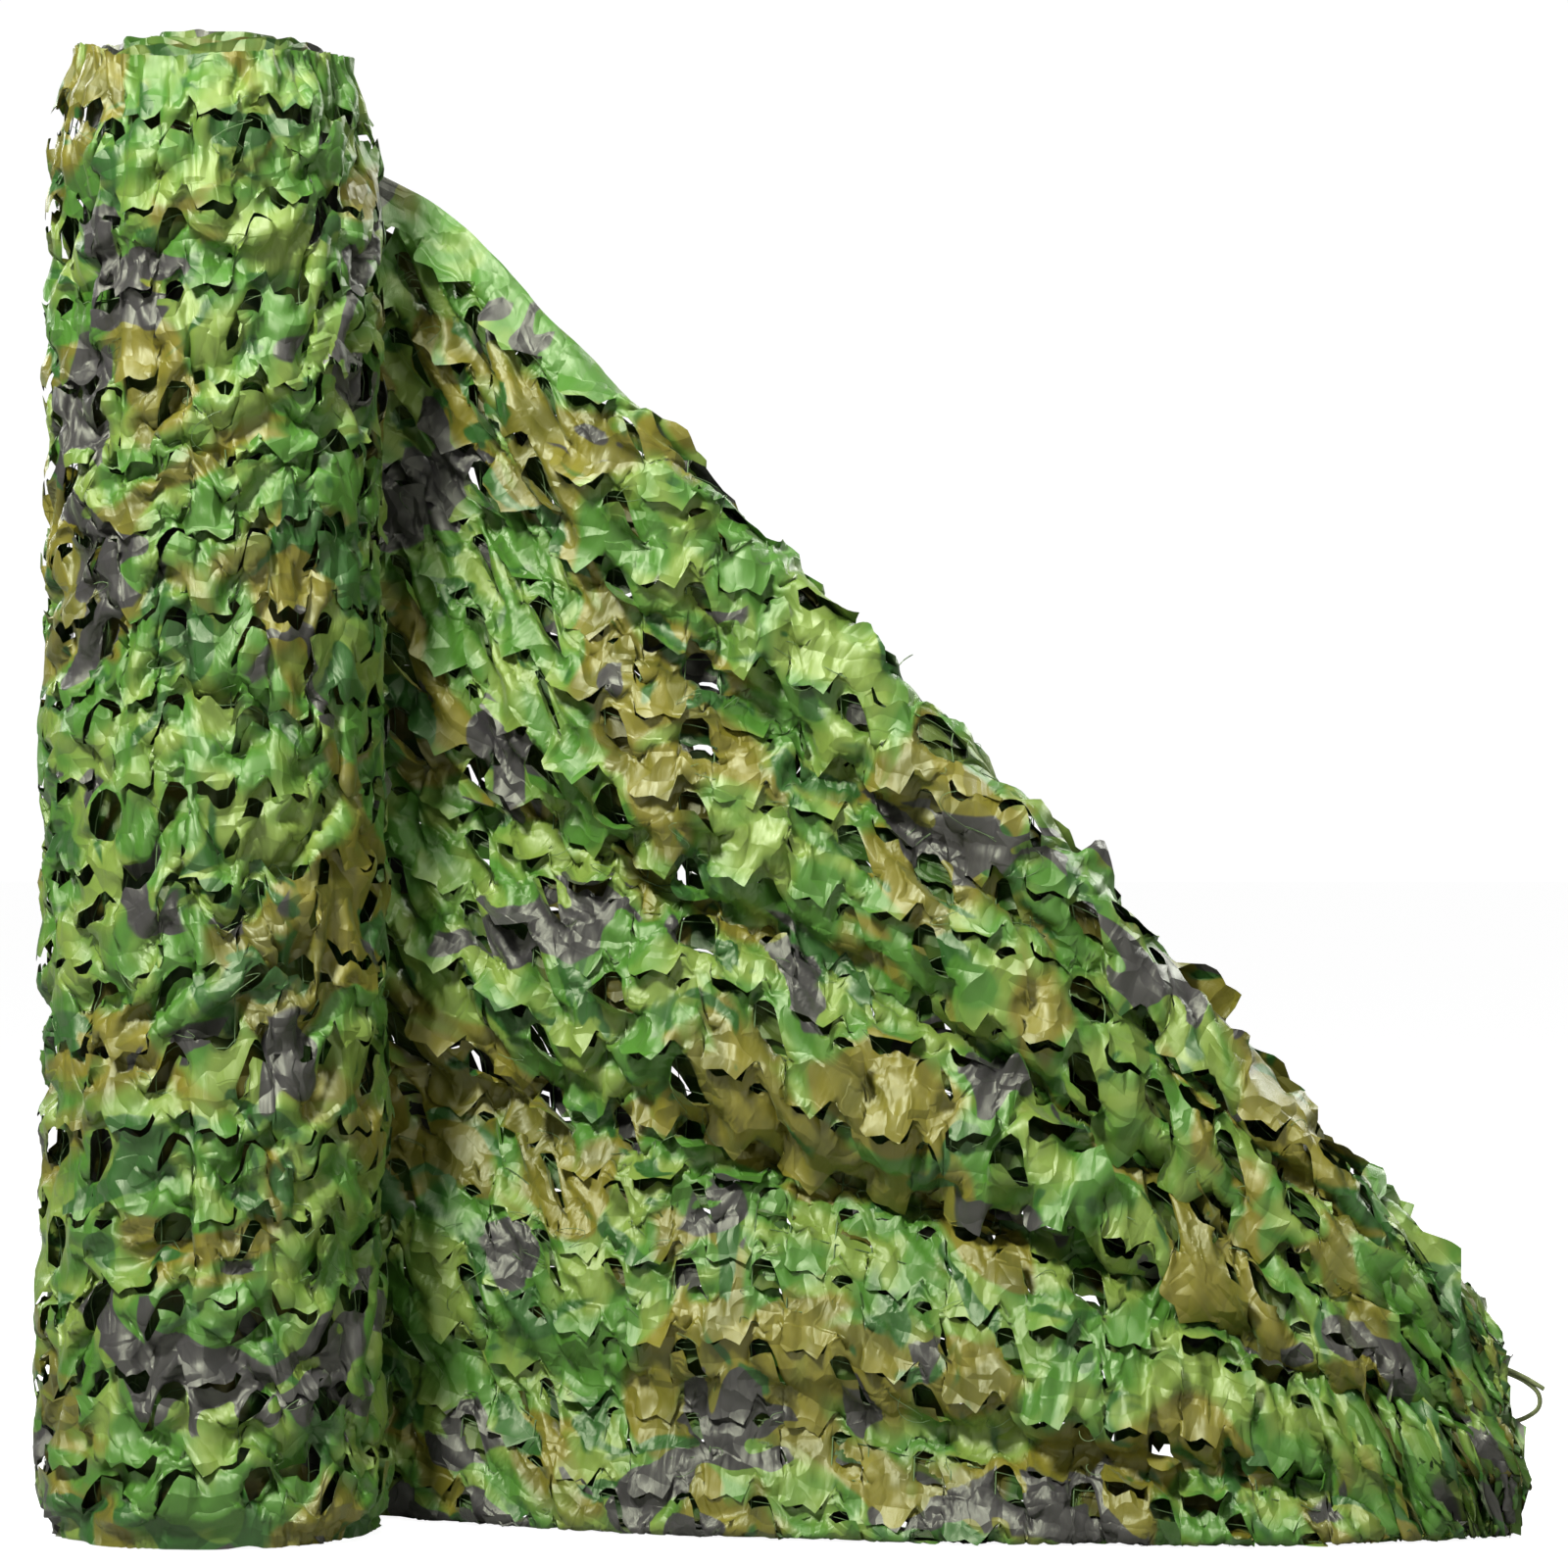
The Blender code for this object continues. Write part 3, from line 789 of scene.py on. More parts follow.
def leaf_lifts(along, across, on_roll, strength, seed):
    """How far each tongue is turned off the cloth, in radians, and how hard it is pushed out.

    On the roll most tongues are turned out, some widely. In the loose end a cup's tongue hangs out, and
    an arch's stands out of the cloth or slips behind the cloth above it, and a few stand wide open.
    """
    angle = np.zeros(along.shape)
    push = np.zeros(along.shape)
    for name, leaves in tongues(along, across, seed).items():
        habit = HABITS[name]
        chosen = leaves.draw[1] < habit.share
        ways = zip(stance_at(habit.first, leaves.draw[0]), stance_at(habit.second, leaves.draw[0]))
        loose_angle, loose_push = [np.where(chosen, first, second) for first, second in ways]
        wound_angle, wound_push = stance_at(habit.wound, leaves.draw[0])
        turned_in = leaves.draw[1] < TURNED_IN_SHARE
        wound_angle = wound_angle * np.where(turned_in, TURNED_IN_ANGLE, 1.0)
        wound_push = np.where(turned_in, TURNED_IN_PUSH, wound_push)
        force = leaves.inside * np.maximum(strength, STRENGTH_LEAST)
        angle = angle + force * between(loose_angle, wound_angle, on_roll)
        push = push + leaves.inside * between(loose_push, wound_push, on_roll)
    return angle, push


def raise_tongues(points, normal, along, across, angle, growth, seed):
    """Each tongue turned off the cloth about its root by its angle, within 12 mm, and curled on."""
    lifted = points.copy()
    up = unit(np.gradient(points, axis=0))
    run = unit(np.gradient(points, axis=1))
    for name, (inside, reach, tilt, draw) in tongues(along, across, seed).items():
        way = up * math.cos(tilt) - run * math.sin(tilt) if name == "arch" else -up
        bend = angle * ease(reach / LIFT_REACH) + (draw[2] - CURL_MIDDLE) * CURL * reach
        side = APART * ease(reach / APART_REACH) * (-1.0 if name == "arch" else 1.0)
        away = (growth * reach * np.sin(bend) + side)[..., None]
        drawn_in = (reach - growth * reach * np.cos(bend))[..., None]
        lifted += inside[..., None] * (normal * away - way * drawn_in)
    return lifted


def grown_flat(along, across, growth, seed):
    """Flat places of the cloth with every tongue made growth times as long as its cut."""
    wide = along.copy()
    high = across.copy()
    for name, leaves in tongues(along, across, seed).items():
        more = leaves.inside * leaves.reach * (growth - 1.0)
        wide = wide - more * math.sin(leaves.tilt) * (name == "arch")
        high = high + more * (math.cos(leaves.tilt) if name == "arch" else -1.0)
    return wide, high


def join_slices(rows, columns, down, right, stride, start):
    """Slices of both ends of every stride-th join from a point to the one down and right of it."""
    left = max(-right, 0)
    wide = columns - abs(right)
    high = rows - down
    if down:
        first = (slice(start, high, stride), slice(left, left + wide))
        second = (slice(start + down, high + down, stride), slice(left + right, left + right + wide))
    else:
        first = (slice(0, rows), slice(start, wide, stride))
        second = (slice(0, rows), slice(start + right, wide + right, stride))
    return first, second


def cloth_joins(along, across, cut, slack):
    """Slices of both ends, flat length times slack, share moved and least share, for all joins in turn.

    Joins of a kind are taken in strides, so that no point is in two of one stride. Those across a cut
    have no share.
    """
    joins = []
    for down, right, share, least in JOINS:
        stride = 2 * max(down, abs(right))
        for start in range(stride):
            first, second = join_slices(*along.shape, down, right, stride, start)
            rest = np.hypot(along[second] - along[first], across[second] - across[first])
            rest = rest * 0.5 * (slack[first] + slack[second])
            kept = np.full(rest.shape, share)
            for step in range(down):
                here = slice(first[0].start + step, first[0].stop + step, stride)
                kept = kept * ~cut[here, first[1]] * ~cut[here, second[1]]
            joins.append((first, second, rest.astype(np.float32), kept.astype(np.float32), least))
    return joins


def settle(points, joins, hold_at, hold, push, steps, limits):
    """Relax the cloth so that it keeps its flat lengths, as real cloth does, and so creases and flops.

    Each step moves every point by its push, draws it to where it is held by its share of hold, draws
    every join between neighbours to its length, and pushes apart points two and four steps off that
    fold too near.
    """
    points = points.astype(np.float32)
    hold_at = hold_at.astype(np.float32)
    hold = hold.astype(np.float32)[..., None]
    push = push.astype(np.float32)
    for step in range(steps):
        points += push
        points += hold * (hold_at - points)
        for first, second, rest, share, least in joins:
            gap = points[second] - points[first]
            length = np.sqrt(np.einsum("...i,...i->...", gap, gap)) + TINY_LENGTH
            if least:
                change = np.minimum(length - rest * least, 0.0)
            else:
                change = length - rest
            move = gap * (share * change / length)[..., None]
            points[first] += move
            points[second] -= move
        limits(points)
    return points.astype(float)


loose_along, loose_across, cut_joins = flat_cloth(
    REPEATS_LOOSE + REPEATS_TURN, STEPS_ALONG, ROWS_UNDER, ROWS_BETWEEN
)
turn_columns = REPEATS_TURN * STEPS_ALONG
turn_length = REPEATS_TURN * REPEAT_ALONG

# The cloth's first columns wrap the roll, from where it dives under the seam round to the seam, and
# the rest lies on the drape.
on_turn = slice(0, turn_columns + 1)
turned = 2.0 * math.pi * (1.0 - loose_along[:, on_turn] / turn_length)
wrapped = wrap_turn(turned, loose_across[:, on_turn])
past_turn = slice(turn_columns, None)
draped, tucked = drape_loose(loose_along[:, past_turn] - turn_length, loose_across[:, past_turn])
bed = np.concatenate((wrapped[:, :-1], draped), axis=1)
tucked = np.concatenate((np.zeros(wrapped[:, :-1].shape[:2], bool), tucked), axis=1)
bed_normal = grid_normals(bed)
bed_normal[:, on_turn] = 0.0
bed_normal[tucked] = 0.0
middle = np.array([ROLL_X, ROLL_Y])
out_from_roll = bed[:, on_turn, :2] - middle
bed_normal[:, on_turn, :2] = out_from_roll / np.linalg.norm(out_from_roll, axis=-1)[..., None]

# Small uneven waves stand the cloth off its bed, so that slack cloth creases where real cloth does.
# It has most slack on the roll and least low down beside it, where it hangs almost flat, and at the
# far end of the heap, where the leaves lie pressed together. Edges are places and reaches, in metres
# of cloth or, beyond the roll, in shares of the loose length.
Edge = namedtuple("Edge", "place reach")
ROLL_PART = Edge(turn_length + 0.05, 0.10)
CALM_NEAR = Edge(0.03, 0.08)
CALM_FAR = Edge(0.64, 0.16)
CALM_TOP = Edge(0.60, 0.20)
PACKED_PART = Edge(0.86, 0.08)
PLAIN_PART = Edge(SELVAGE - 0.004, 0.012)
Noise = namedtuple("Noise", "size seed")
STIR_NOISE = Noise(0.30, 21)
FACETS = Noise(0.044, 11)
SMALL_FACETS = Noise(0.020, 12)
BILLOWS = Noise(0.085, 13)
SLIDES_ALONG = Noise(0.075, 14)
SLIDES_UP = Noise(0.075, 15)
ROW_SAGS = Noise(0.21, 16)
TOP_RISES = Noise(0.19, 17)
TOP_STANDS = Noise(0.06, 18)
CREASES = Noise(0.030, 51)
FINE_CREASES = Noise(0.0145, 52)
SLACK_LEAST = 1.010
SLACK_MOST = 1.12
SLACK_LESS_ON_ROLL = 0.5
STIR_ON_ROLL = 0.45
STIR_LESS_CALM = 0.80
STIR_LESS_PACKED = 0.45
STIR_VARIES = 0.20
SMALL_FACET_SHARE = 0.4
FACET_STAND = 0.0085
BILLOW_STAND = 0.0050
STAND_LESS_PLAIN = 0.6
ROLL_STAND = 0.006
SLIDE = 0.005
SLIDE_ON_ROLL = 0.012
ROW_SAG = 0.012
TOP_RISE = 0.004
TOP_RISE_VARIES = 0.011
TOP_STAND = 0.006
LEAF_SEED = 5
FLAT_LEAF_MORE = 0.9
GROWTH = 1.03
GROWTH_LESS_STIRRED = 0.09
GROWTH_LESS_ON_ROLL = 0.08

on_roll = short_of(loose_along, *ROLL_PART)
past_roll = (loose_along - turn_length) / LOOSE_LENGTH
calm = past(past_roll, *CALM_NEAR) * short_of(past_roll, *CALM_FAR) * short_of(loose_across, *CALM_TOP)
packed = past(past_roll, *PACKED_PART)
stir = 1.0 + STIR_ON_ROLL * on_roll - STIR_LESS_CALM * calm - STIR_LESS_PACKED * packed
stir = stir * (1.0 - STIR_VARIES + STIR_VARIES * value_noise(loose_along, loose_across, *STIR_NOISE))
slack = SLACK_LEAST + (SLACK_MOST - SLACK_LEAST) * stir * (1.0 - SLACK_LESS_ON_ROLL * on_roll)
plain_edge = short_of(np.minimum(loose_across, NET_WIDTH - loose_across), *PLAIN_PART)
slack = between(slack, SLACK_LEAST, plain_edge)
facets = facet_noise(loose_along, loose_across, *FACETS)
facets = facets + SMALL_FACET_SHARE * facet_noise(loose_along, loose_across, *SMALL_FACETS)
billow = value_noise(loose_along, loose_across, *BILLOWS)
stand = (facets * FACET_STAND + billow * BILLOW_STAND) * stir * (1.0 - STAND_LESS_PLAIN * plain_edge)
stand = stand + ROLL_STAND * on_roll
slide = SLIDE + SLIDE_ON_ROLL * on_roll
slide_along = slide * value_noise(loose_along, loose_across, *SLIDES_ALONG) * stir
slide_up = slide * value_noise(loose_along, loose_across, *SLIDES_UP) * stir
slide_up = slide_up + ROW_SAG * on_roll * value_noise(loose_along, loose_across, *ROW_SAGS)
slide_up = slide_up * (1.0 - plain_edge)
top_edge = on_roll * ease((loose_across - NET_WIDTH + 2.0 * SELVAGE) / SELVAGE)
top_rise = TOP_RISE + TOP_RISE_VARIES * value_noise(loose_along, loose_across, *TOP_RISES)
slide_up = slide_up + top_edge * top_rise
stand = stand + top_edge * TOP_STAND * value_noise(loose_along, loose_across, *TOP_STANDS)
step_along = unit(np.gradient(bed, axis=1))
rest_at = bed + bed_normal * stand[..., None] + step_along * slide_along[..., None]
rest_at[..., 2] += slide_up
leaf_angle, leaf_push = leaf_lifts(loose_along, loose_across, on_roll, stir, LEAF_SEED)
leaf_angle = leaf_angle * (1.0 + FLAT_LEAF_MORE * np.clip(bed_normal[..., 2], 0.0, 1.0))
growth = GROWTH - GROWTH_LESS_STIRRED * np.minimum(stir, 1.0) - GROWTH_LESS_ON_ROLL * on_roll
start = raise_tongues(rest_at, bed_normal, loose_along, loose_across, leaf_angle, growth, LEAF_SEED)
on_tongue = np.zeros(loose_along.shape, bool)
for leaves in tongues(loose_along, loose_across, LEAF_SEED).values():
    on_tongue |= leaves.inside

# The cloth is stitched to its backing twine at two places of each repeat, and rests on it between.
# Holds are shares of the way back that a point is drawn in a step, and pushes are metres a step.
Stitch = namedtuple("Stitch", "along across")
STITCHES = (Stitch(0.0, 0.080), Stitch(0.0482, 0.052))
STITCH_REACH = 0.007
STITCH_HOLD = 0.30
CLOTH_HOLD = 0.012
EDGE_HOLD = 0.10
OUT_PUSH = 0.00018
DOWN_PUSH = 0.00014
hold = np.full(loose_along.shape, CLOTH_HOLD)
for stitch in STITCHES:
    off_along = around(loose_along, stitch.along, REPEAT_ALONG)
    off_across = around(loose_across - SELVAGE, stitch.across, REPEAT_ACROSS)
    hold = hold + STITCH_HOLD * np.exp(-(off_along**2 + off_across**2) / STITCH_REACH**2)
hold = np.where(on_tongue, 0.0, hold + EDGE_HOLD * plain_edge)
hold = np.where(tucked, 1.0, hold)
out_push = OUT_PUSH * stir * (1.0 - plain_edge) * np.where(on_tongue, leaf_push, 1.0)
push = bed_normal * out_push[..., None]
push[..., 2] -= DOWN_PUSH

# How far the outer turn may stand in and out from its bed, and how much less at the back; and the
# lowest that cloth may lie, before and after it is creased.
LEAST_ROOM = 0.004
ROOM = 0.026
ROOM_LESS_BEHIND = 0.014
LOWEST = 0.0015
LOWEST_CREASED = 0.0012
TURN_MARGIN = 4
bed_radius = np.hypot(bed[..., 0] - ROLL_X, bed[..., 1] - ROLL_Y)
turn_part = slice(0, turn_columns + TURN_MARGIN)


def keep_limits(points):
    """Keep points above the floor, and those of the outer turn close outside the turn they lie on."""
    np.maximum(points[..., 2], LOWEST, out=points[..., 2])
    out = points[:, turn_part, :2] - middle.astype(np.float32)
    radius = np.sqrt(np.einsum("...i,...i->...", out, out)) + TINY_LENGTH
    room = ROOM - ROOM_LESS_BEHIND * np.maximum(out[..., 1] / radius, 0.0) ** 2
    bed_here = bed_radius[:, turn_part]
    wanted = np.clip(radius, bed_here - LEAST_ROOM, bed_here + room)
    points[:, turn_part, :2] += out * (wanted / radius - 1.0)[..., None].astype(np.float32)


CREASE = 0.0027
FINE_CREASE = 0.0005
CREASE_LEAST = 0.45
CREASE_ON_ROLL = 0.8
CREASE_LESS_PLAIN = 0.5

flat_along, flat_across = grown_flat(loose_along, loose_across, growth, LEAF_SEED)
joins = cloth_joins(flat_along, flat_across, cut_joins, slack)
settle_steps = SETTLE_STEPS
settled = settle(start, joins, rest_at, hold, push, settle_steps, keep_limits)
crease = CREASE * facet_noise(loose_along, loose_across, *CREASES)
crease = crease + FINE_CREASE * facet_noise(loose_along, loose_across, *FINE_CREASES)
crease = crease * (CREASE_LEAST + (1.0 - CREASE_LEAST) * stir + CREASE_ON_ROLL * on_roll)
settled_normal = grid_normals(settled)
facing = np.sign(np.sum(settled_normal * bed_normal, axis=-1) + TINY_SIGN)
settled_normal = settled_normal * facing[..., None]
crease = crease * (1.0 - CREASE_LESS_PLAIN * plain_edge) * ~tucked
settled = settled + settled_normal * crease[..., None]
settled[..., 2] = np.maximum(settled[..., 2], LOWEST_CREASED)

# The print. Each field is a noise with a scale, a detail, a distortion and a shift in metres of cloth,
# and runs from one colour to the next between its low and its high. Only the noise of the last two
# is used, for the middle line and the length of the branches.
Field = namedtuple("Field", "scale detail distortion shift low high", defaults=(0.0, 1.0))
PALE_FIELD = Field(12.0, 2.0, 0.6, 3.1, 0.455, 0.60)
OLIVE_FIELD = Field(13.0, 2.0, 0.8, 9.7, 0.42, 0.60)
GROUND_FIELD = Field(5.0, 2.0, 1.2, 0.0, 0.535, 0.580)
DEEP_FIELD = Field(9.0, 2.0, 1.4, 5.3, 0.60, 0.63)
STROKE_FIELD = Field(8.0, 1.0, 1.0, 14.9)
BRANCH_FIELD = Field(5.0, 1.0, 0.6, 21.3)
SHIFT_ACROSS = 0.37
STROKE_MIDDLE = 0.5
STROKE_LEAST = 0.035
STROKE_TAPER = 1.4
BRANCH_LOW = 0.534
BRANCH_HIGH = 0.540
LEAF_GREEN = (0.055, 0.180, 0.014)
PALE_GREEN = (0.178, 0.270, 0.038)
OLIVE = (0.184, 0.162, 0.011)
DARK_OLIVE = (0.118, 0.113, 0.009)
DEEP_GREEN = (0.018, 0.095, 0.010)
CHARCOAL = (0.040, 0.036, 0.039)
CLOTH_GREEN = (0.08, 0.2, 0.05)
CLOTH_ROUGHNESS = 0.43
CLOTH_GLOSS = {
    "Sheen Weight": 0.10,
    "Sheen Roughness": 0.4,
    "Sheen Tint": (0.80, 1.0, 0.55, 1.0),
    "Specular Tint": (0.95, 1.0, 0.74, 1.0),
}
# Specular level for each share of painted shade: cloth painted into shade also gets a weaker highlight.
SPECULAR_PER_PAINTED_SHADE = 1.3
BEND_SCALE = 16.0
BEND_BY = (0.045, 0.045, 0.0)
FOLD_SCALE = 23.0
FOLD_RELIEF = Relief(0.8, 0.011)
WRINKLE_SCALE = (95.0, 22.0, 1.0)
WRINKLE_SLANT = (0.0, 0.0, 0.25)
WRINKLE_DETAIL = 3.0
WRINKLE_DISTORTION = 0.5
WRINKLE_RELIEF = Relief(0.40, 0.0018)
TWILL_SCALE = 1300.0
TWILL_WAVER = 0.6
TWILL_RELIEF = Relief(0.25, 0.00025)
# A Mix node's sockets for colours share their names with those for numbers, so they go by place.
COLOUR_A = 6
COLOUR_B = 7
COLOUR_OUT = 2


def leaf_material(name, painted_shade):
    """Camouflage print of soft-edged blotches on the cloth's own UV, in metres, on a creased satin.

    Broad green and olive fields, paler patches in the green, and charcoal branches over both, which run
    where one noise is near its middle value and fade to round ends as a broader noise falls. Its plain
    colours and its specular level are multiplied by a share that is painted shade, for copies of the
    cloth that lie in shadow; 1 leaves them as they are.
    """
    material = plain_material(name, CLOTH_GREEN, CLOTH_ROUGHNESS)
    place = add_node(material, "UVMap", {}, uv_map="cloth").outputs["UV"]

    def noise(field):
        """Noise of a field, at the place plus the field's shift."""
        shift = {"Vector": place, "Location": (field.shift, SHIFT_ACROSS * field.shift, 0.0)}
        values = {
            "Vector": add_node(material, "Mapping", shift).outputs["Vector"],
            "Scale": field.scale,
            "Detail": field.detail,
            "Distortion": field.distortion,
        }
        return add_node(material, "TexNoise", values).outputs["Fac"]

    def arithmetic(kind, *values):
        """Result of one operation of a kind on the values."""
        return add_node(material, "Math", dict(enumerate(values)), operation=kind).outputs["Value"]

    def layer(factor, low, high, first, second):
        """First colour where the factor is low, the second where it is high. Plain ones take painted
        shade.
        """
        values = {0: ramp(material, factor, low, high)}
        for key, colour in ((COLOUR_A, first), (COLOUR_B, second)):
            if isinstance(colour, tuple):
                colour = (*[channel * painted_shade for channel in colour], 1.0)
            values[key] = colour
        return add_node(material, "Mix", values, data_type="RGBA").outputs[COLOUR_OUT]

    def blotches(field, first, second):
        """Two colours laid out by a field."""
        return layer(noise(field), field.low, field.high, first, second)

    pale = blotches(PALE_FIELD, LEAF_GREEN, PALE_GREEN)
    olive = blotches(OLIVE_FIELD, OLIVE, DARK_OLIVE)
    ground = blotches(GROUND_FIELD, pale, olive)
    deep = blotches(DEEP_FIELD, ground, DEEP_GREEN)
    stroke = arithmetic("ABSOLUTE", arithmetic("SUBTRACT", noise(STROKE_FIELD), STROKE_MIDDLE))
    stroke = arithmetic("MULTIPLY", arithmetic("MAXIMUM", stroke, STROKE_LEAST), STROKE_TAPER)
    stroke = arithmetic("SUBTRACT", noise(BRANCH_FIELD), stroke)
    branch = layer(stroke, BRANCH_LOW, BRANCH_HIGH, deep, CHARCOAL)

    bent = add_node(material, "TexNoise", {"Vector": place, "Scale": BEND_SCALE}).outputs["Color"]
    bend = {0: bent, 1: BEND_BY, 2: place}
    bend = add_node(material, "VectorMath", bend, operation="MULTIPLY_ADD").outputs["Vector"]
    folds = {"Vector": bend, "Scale": FOLD_SCALE}
    folds = add_node(material, "TexVoronoi", folds, distance="MANHATTAN").outputs["Distance"]
    stretch = {"Vector": place, "Scale": WRINKLE_SCALE, "Rotation": WRINKLE_SLANT}
    wrinkle = {
        "Vector": add_node(material, "Mapping", stretch).outputs["Vector"],
        "Scale": 1.0,
        "Detail": WRINKLE_DETAIL,
        "Distortion": WRINKLE_DISTORTION,
    }
    wrinkle = add_node(material, "TexNoise", wrinkle).outputs["Fac"]
    twill = diagonal_bands(material, place, TWILL_SCALE, TWILL_WAVER)
    normal = raised(material, FOLD_RELIEF, folds)
    normal = raised(material, WRINKLE_RELIEF, wrinkle, Normal=normal)
    normal = raised(material, TWILL_RELIEF, twill, Normal=normal)
    # Specular level lowered with the painted shade.
    specular = min(1.0, SPECULAR_PER_PAINTED_SHADE * painted_shade)
    surface = {"Base Color": branch, "Specular IOR Level": specular, "Normal": normal}
    fill_shader(material, {**surface, **CLOTH_GLOSS})
    return material


def cloth_part(name, first, last):
    """Mesh of the columns from first to last of the settled cloth, without faces in the kerfs."""
    part = settled[:, first : last + 1]
    open_join = cut_joins[:, first : last + 1]
    gone = (open_join[:, :-1] & open_join[:, 1:]).ravel()
    faces = grid_faces(*part.shape[:2])[~gone]
    uvs = np.stack((loose_along[:, first : last + 1], loose_across[:, first : last + 1]), axis=-1)
    return surface_mesh(name, part.reshape(-1, 3), faces, uvs.reshape(-1, 2))


leaf_cloth = leaf_material("leaf_cloth", 1.0)
outer_turn = add_piece("outer_turn", cloth_part("outer_turn", 0, turn_columns), leaf_cloth)
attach(outer_turn, "root")
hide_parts("roll")

loose_mesh = cloth_part("drawn_out_end", turn_columns, loose_along.shape[1] - 1)
loose_end = add_piece("drawn_out_end", loose_mesh, leaf_cloth)
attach(loose_end, "root")
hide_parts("loose_end")

# ---- Inner ply of the loose end ----
# The net is wound two deep, and its inner ply is drawn out with the outer one and hangs close behind
# it. It is the same leaf cloth, with its cuts out of step, so little daylight comes through both, and
# its colours are darkened as painted shade for the shadow between the plies.
PLY_REPEATS = 17
PLY_STEPS = 9
PLY_ROWS = 3
PLY_SHIFT = 0.037
PLY_BEHIND = 0.015
PLY_LESS_BEHIND = 0.6
PLY_NEAR_ROLL = Edge(0.10, 0.08)
PLY_TOP = 1.480
PLY_FACETS = Noise(0.060, 61)
PLY_BILLOWS = Noise(0.11, 62)
PLY_FACET_STAND = 0.005
PLY_BILLOW_STAND = 0.004
PLY_LEAF_SEED = 63
PLY_GROWTH = 1.06
# Painted shade: the ply's colours are darkened to this share for the shadow behind the outer ply.
PLY_PAINTED_SHADE = 0.40
PLY_PRINT_SHIFT = 3.7

ply_along, ply_across, ply_cut = flat_cloth(PLY_REPEATS, PLY_STEPS, PLY_ROWS, PLY_ROWS)
laid_along = np.maximum(ply_along - PLY_SHIFT, 0.0)
laid_across = np.clip(ply_across - PLY_SHIFT, 0.0, NET_WIDTH)
ply_points, ply_tucked = drape_loose(laid_along, laid_across)
ply_normal = grid_normals(ply_points)
ply_waves = PLY_FACET_STAND * facet_noise(ply_along, ply_across, *PLY_FACETS)
ply_waves = ply_waves + PLY_BILLOW_STAND * value_noise(ply_along, ply_across, *PLY_BILLOWS)
near_roll = short_of(ply_along, *PLY_NEAR_ROLL)
ply_waves = ply_waves - PLY_BEHIND * (1.0 - PLY_LESS_BEHIND * near_roll)
ply_points = ply_points + ply_normal * ply_waves[..., None]
unstirred = np.zeros(ply_along.shape)
ply_angle = leaf_lifts(ply_along, ply_across, unstirred, unstirred, PLY_LEAF_SEED)[0]
ply_points = raise_tongues(
    ply_points, ply_normal, ply_along, ply_across, ply_angle, PLY_GROWTH, PLY_LEAF_SEED
)
ply_points[..., 2] = np.maximum(ply_points[..., 2], LOWEST)
ply_faces = grid_faces(*ply_along.shape)
ply_gone = (ply_cut[:, :-1] & ply_cut[:, 1:]) | ply_tucked[1:, 1:] | (ply_across[1:, 1:] > PLY_TOP)
ply_uvs = np.stack((ply_along + PLY_PRINT_SHIFT, ply_across), axis=-1).reshape(-1, 2)
ply_mesh = surface_mesh("inner_ply", ply_points.reshape(-1, 3), ply_faces[~ply_gone.ravel()], ply_uvs)
inner_ply = add_piece("inner_ply", ply_mesh, leaf_material("ply_cloth_painted_shade", PLY_PAINTED_SHADE))
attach(inner_ply, "root")
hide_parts("loose_end")

# ---- Turned-in free end ----
# The last of the cloth is gathered and turned in on itself, so that the heap's right end is closed by
# crumpled leaves, with the cord's bend standing out between them.
END_REPEATS = 2
END_SHARE = 0.985
END_BULGE = 0.010
END_BULGE_WAVE = 1.3
END_BACK = 0.006
END_CORE_HEIGHT = 0.92
END_CRUMPLE = 0.010
END_CRUMPLE_SIZE = 0.050
END_CRUMPLE_SEEDS = (71, 72, 73)
END_CRUMPLE_CLOSER = 1.7
END_CRUMPLE_RISE = 4.0
END_LEAF_SEED = 75
END_ON_ROLL = 0.1
END_GROWTH = 1.05
END_FURTHEST = 0.768
END_PRINT_SHIFT = 11.3

end_along, end_across, end_cut = flat_cloth(END_REPEATS, STEPS_ALONG, PLY_ROWS, PLY_ROWS)
half = len(end_along) // 2
end_along, end_across, end_cut = end_along[:half], end_across[:half], end_cut[: half - 1]
end_fields = (station_value(field, np.array([END_SHARE])) for field in ("ridge_z", "behind", "bend"))
end_height, end_behind, end_bend = end_fields
end_rise = np.linspace(0.0, 1.0, SECTION_STEPS) * (1.0 + (end_behind - end_bend) / end_height)
end_ring = section_point(np.full(SECTION_STEPS, END_SHARE), end_rise)
end_steps = np.linalg.norm(np.diff(end_ring, axis=0), axis=1)
end_length = np.concatenate(([0.0], np.cumsum(end_steps)))
ring_at = end_across / end_across.max() * end_length[-1]
rim = np.stack([np.interp(ring_at, end_length, end_ring[:, axis]) for axis in range(3)], axis=-1)
inward = ease(end_along / end_along.max())
core_y = np.full(rim.shape[:2], end_ring[:, 1].mean())
core = np.stack((rim[..., 0], core_y, END_CORE_HEIGHT * rim[..., 2]), axis=-1)
end_points = between(rim, core, inward[..., None])
bulge = np.sin(math.pi * np.minimum(inward * END_BULGE_WAVE, 1.0))
end_points[..., 0] += END_BULGE * bulge - END_BACK
crumple = [
    value_noise(ring_at * END_CRUMPLE_CLOSER, end_along, END_CRUMPLE_SIZE, seed)
    for seed in END_CRUMPLE_SEEDS
]
crumple = END_CRUMPLE * np.stack(crumple, axis=-1)
end_points = end_points + crumple * np.minimum(1.0, END_CRUMPLE_RISE * inward)[..., None]
end_normal = grid_normals(end_points)
end_normal = end_normal * np.sign(end_normal[..., :1] + TINY_SIGN)
end_on_roll = np.full(end_along.shape, END_ON_ROLL)
end_angle = leaf_lifts(end_along, end_across, end_on_roll, np.zeros(end_along.shape), END_LEAF_SEED)[0]
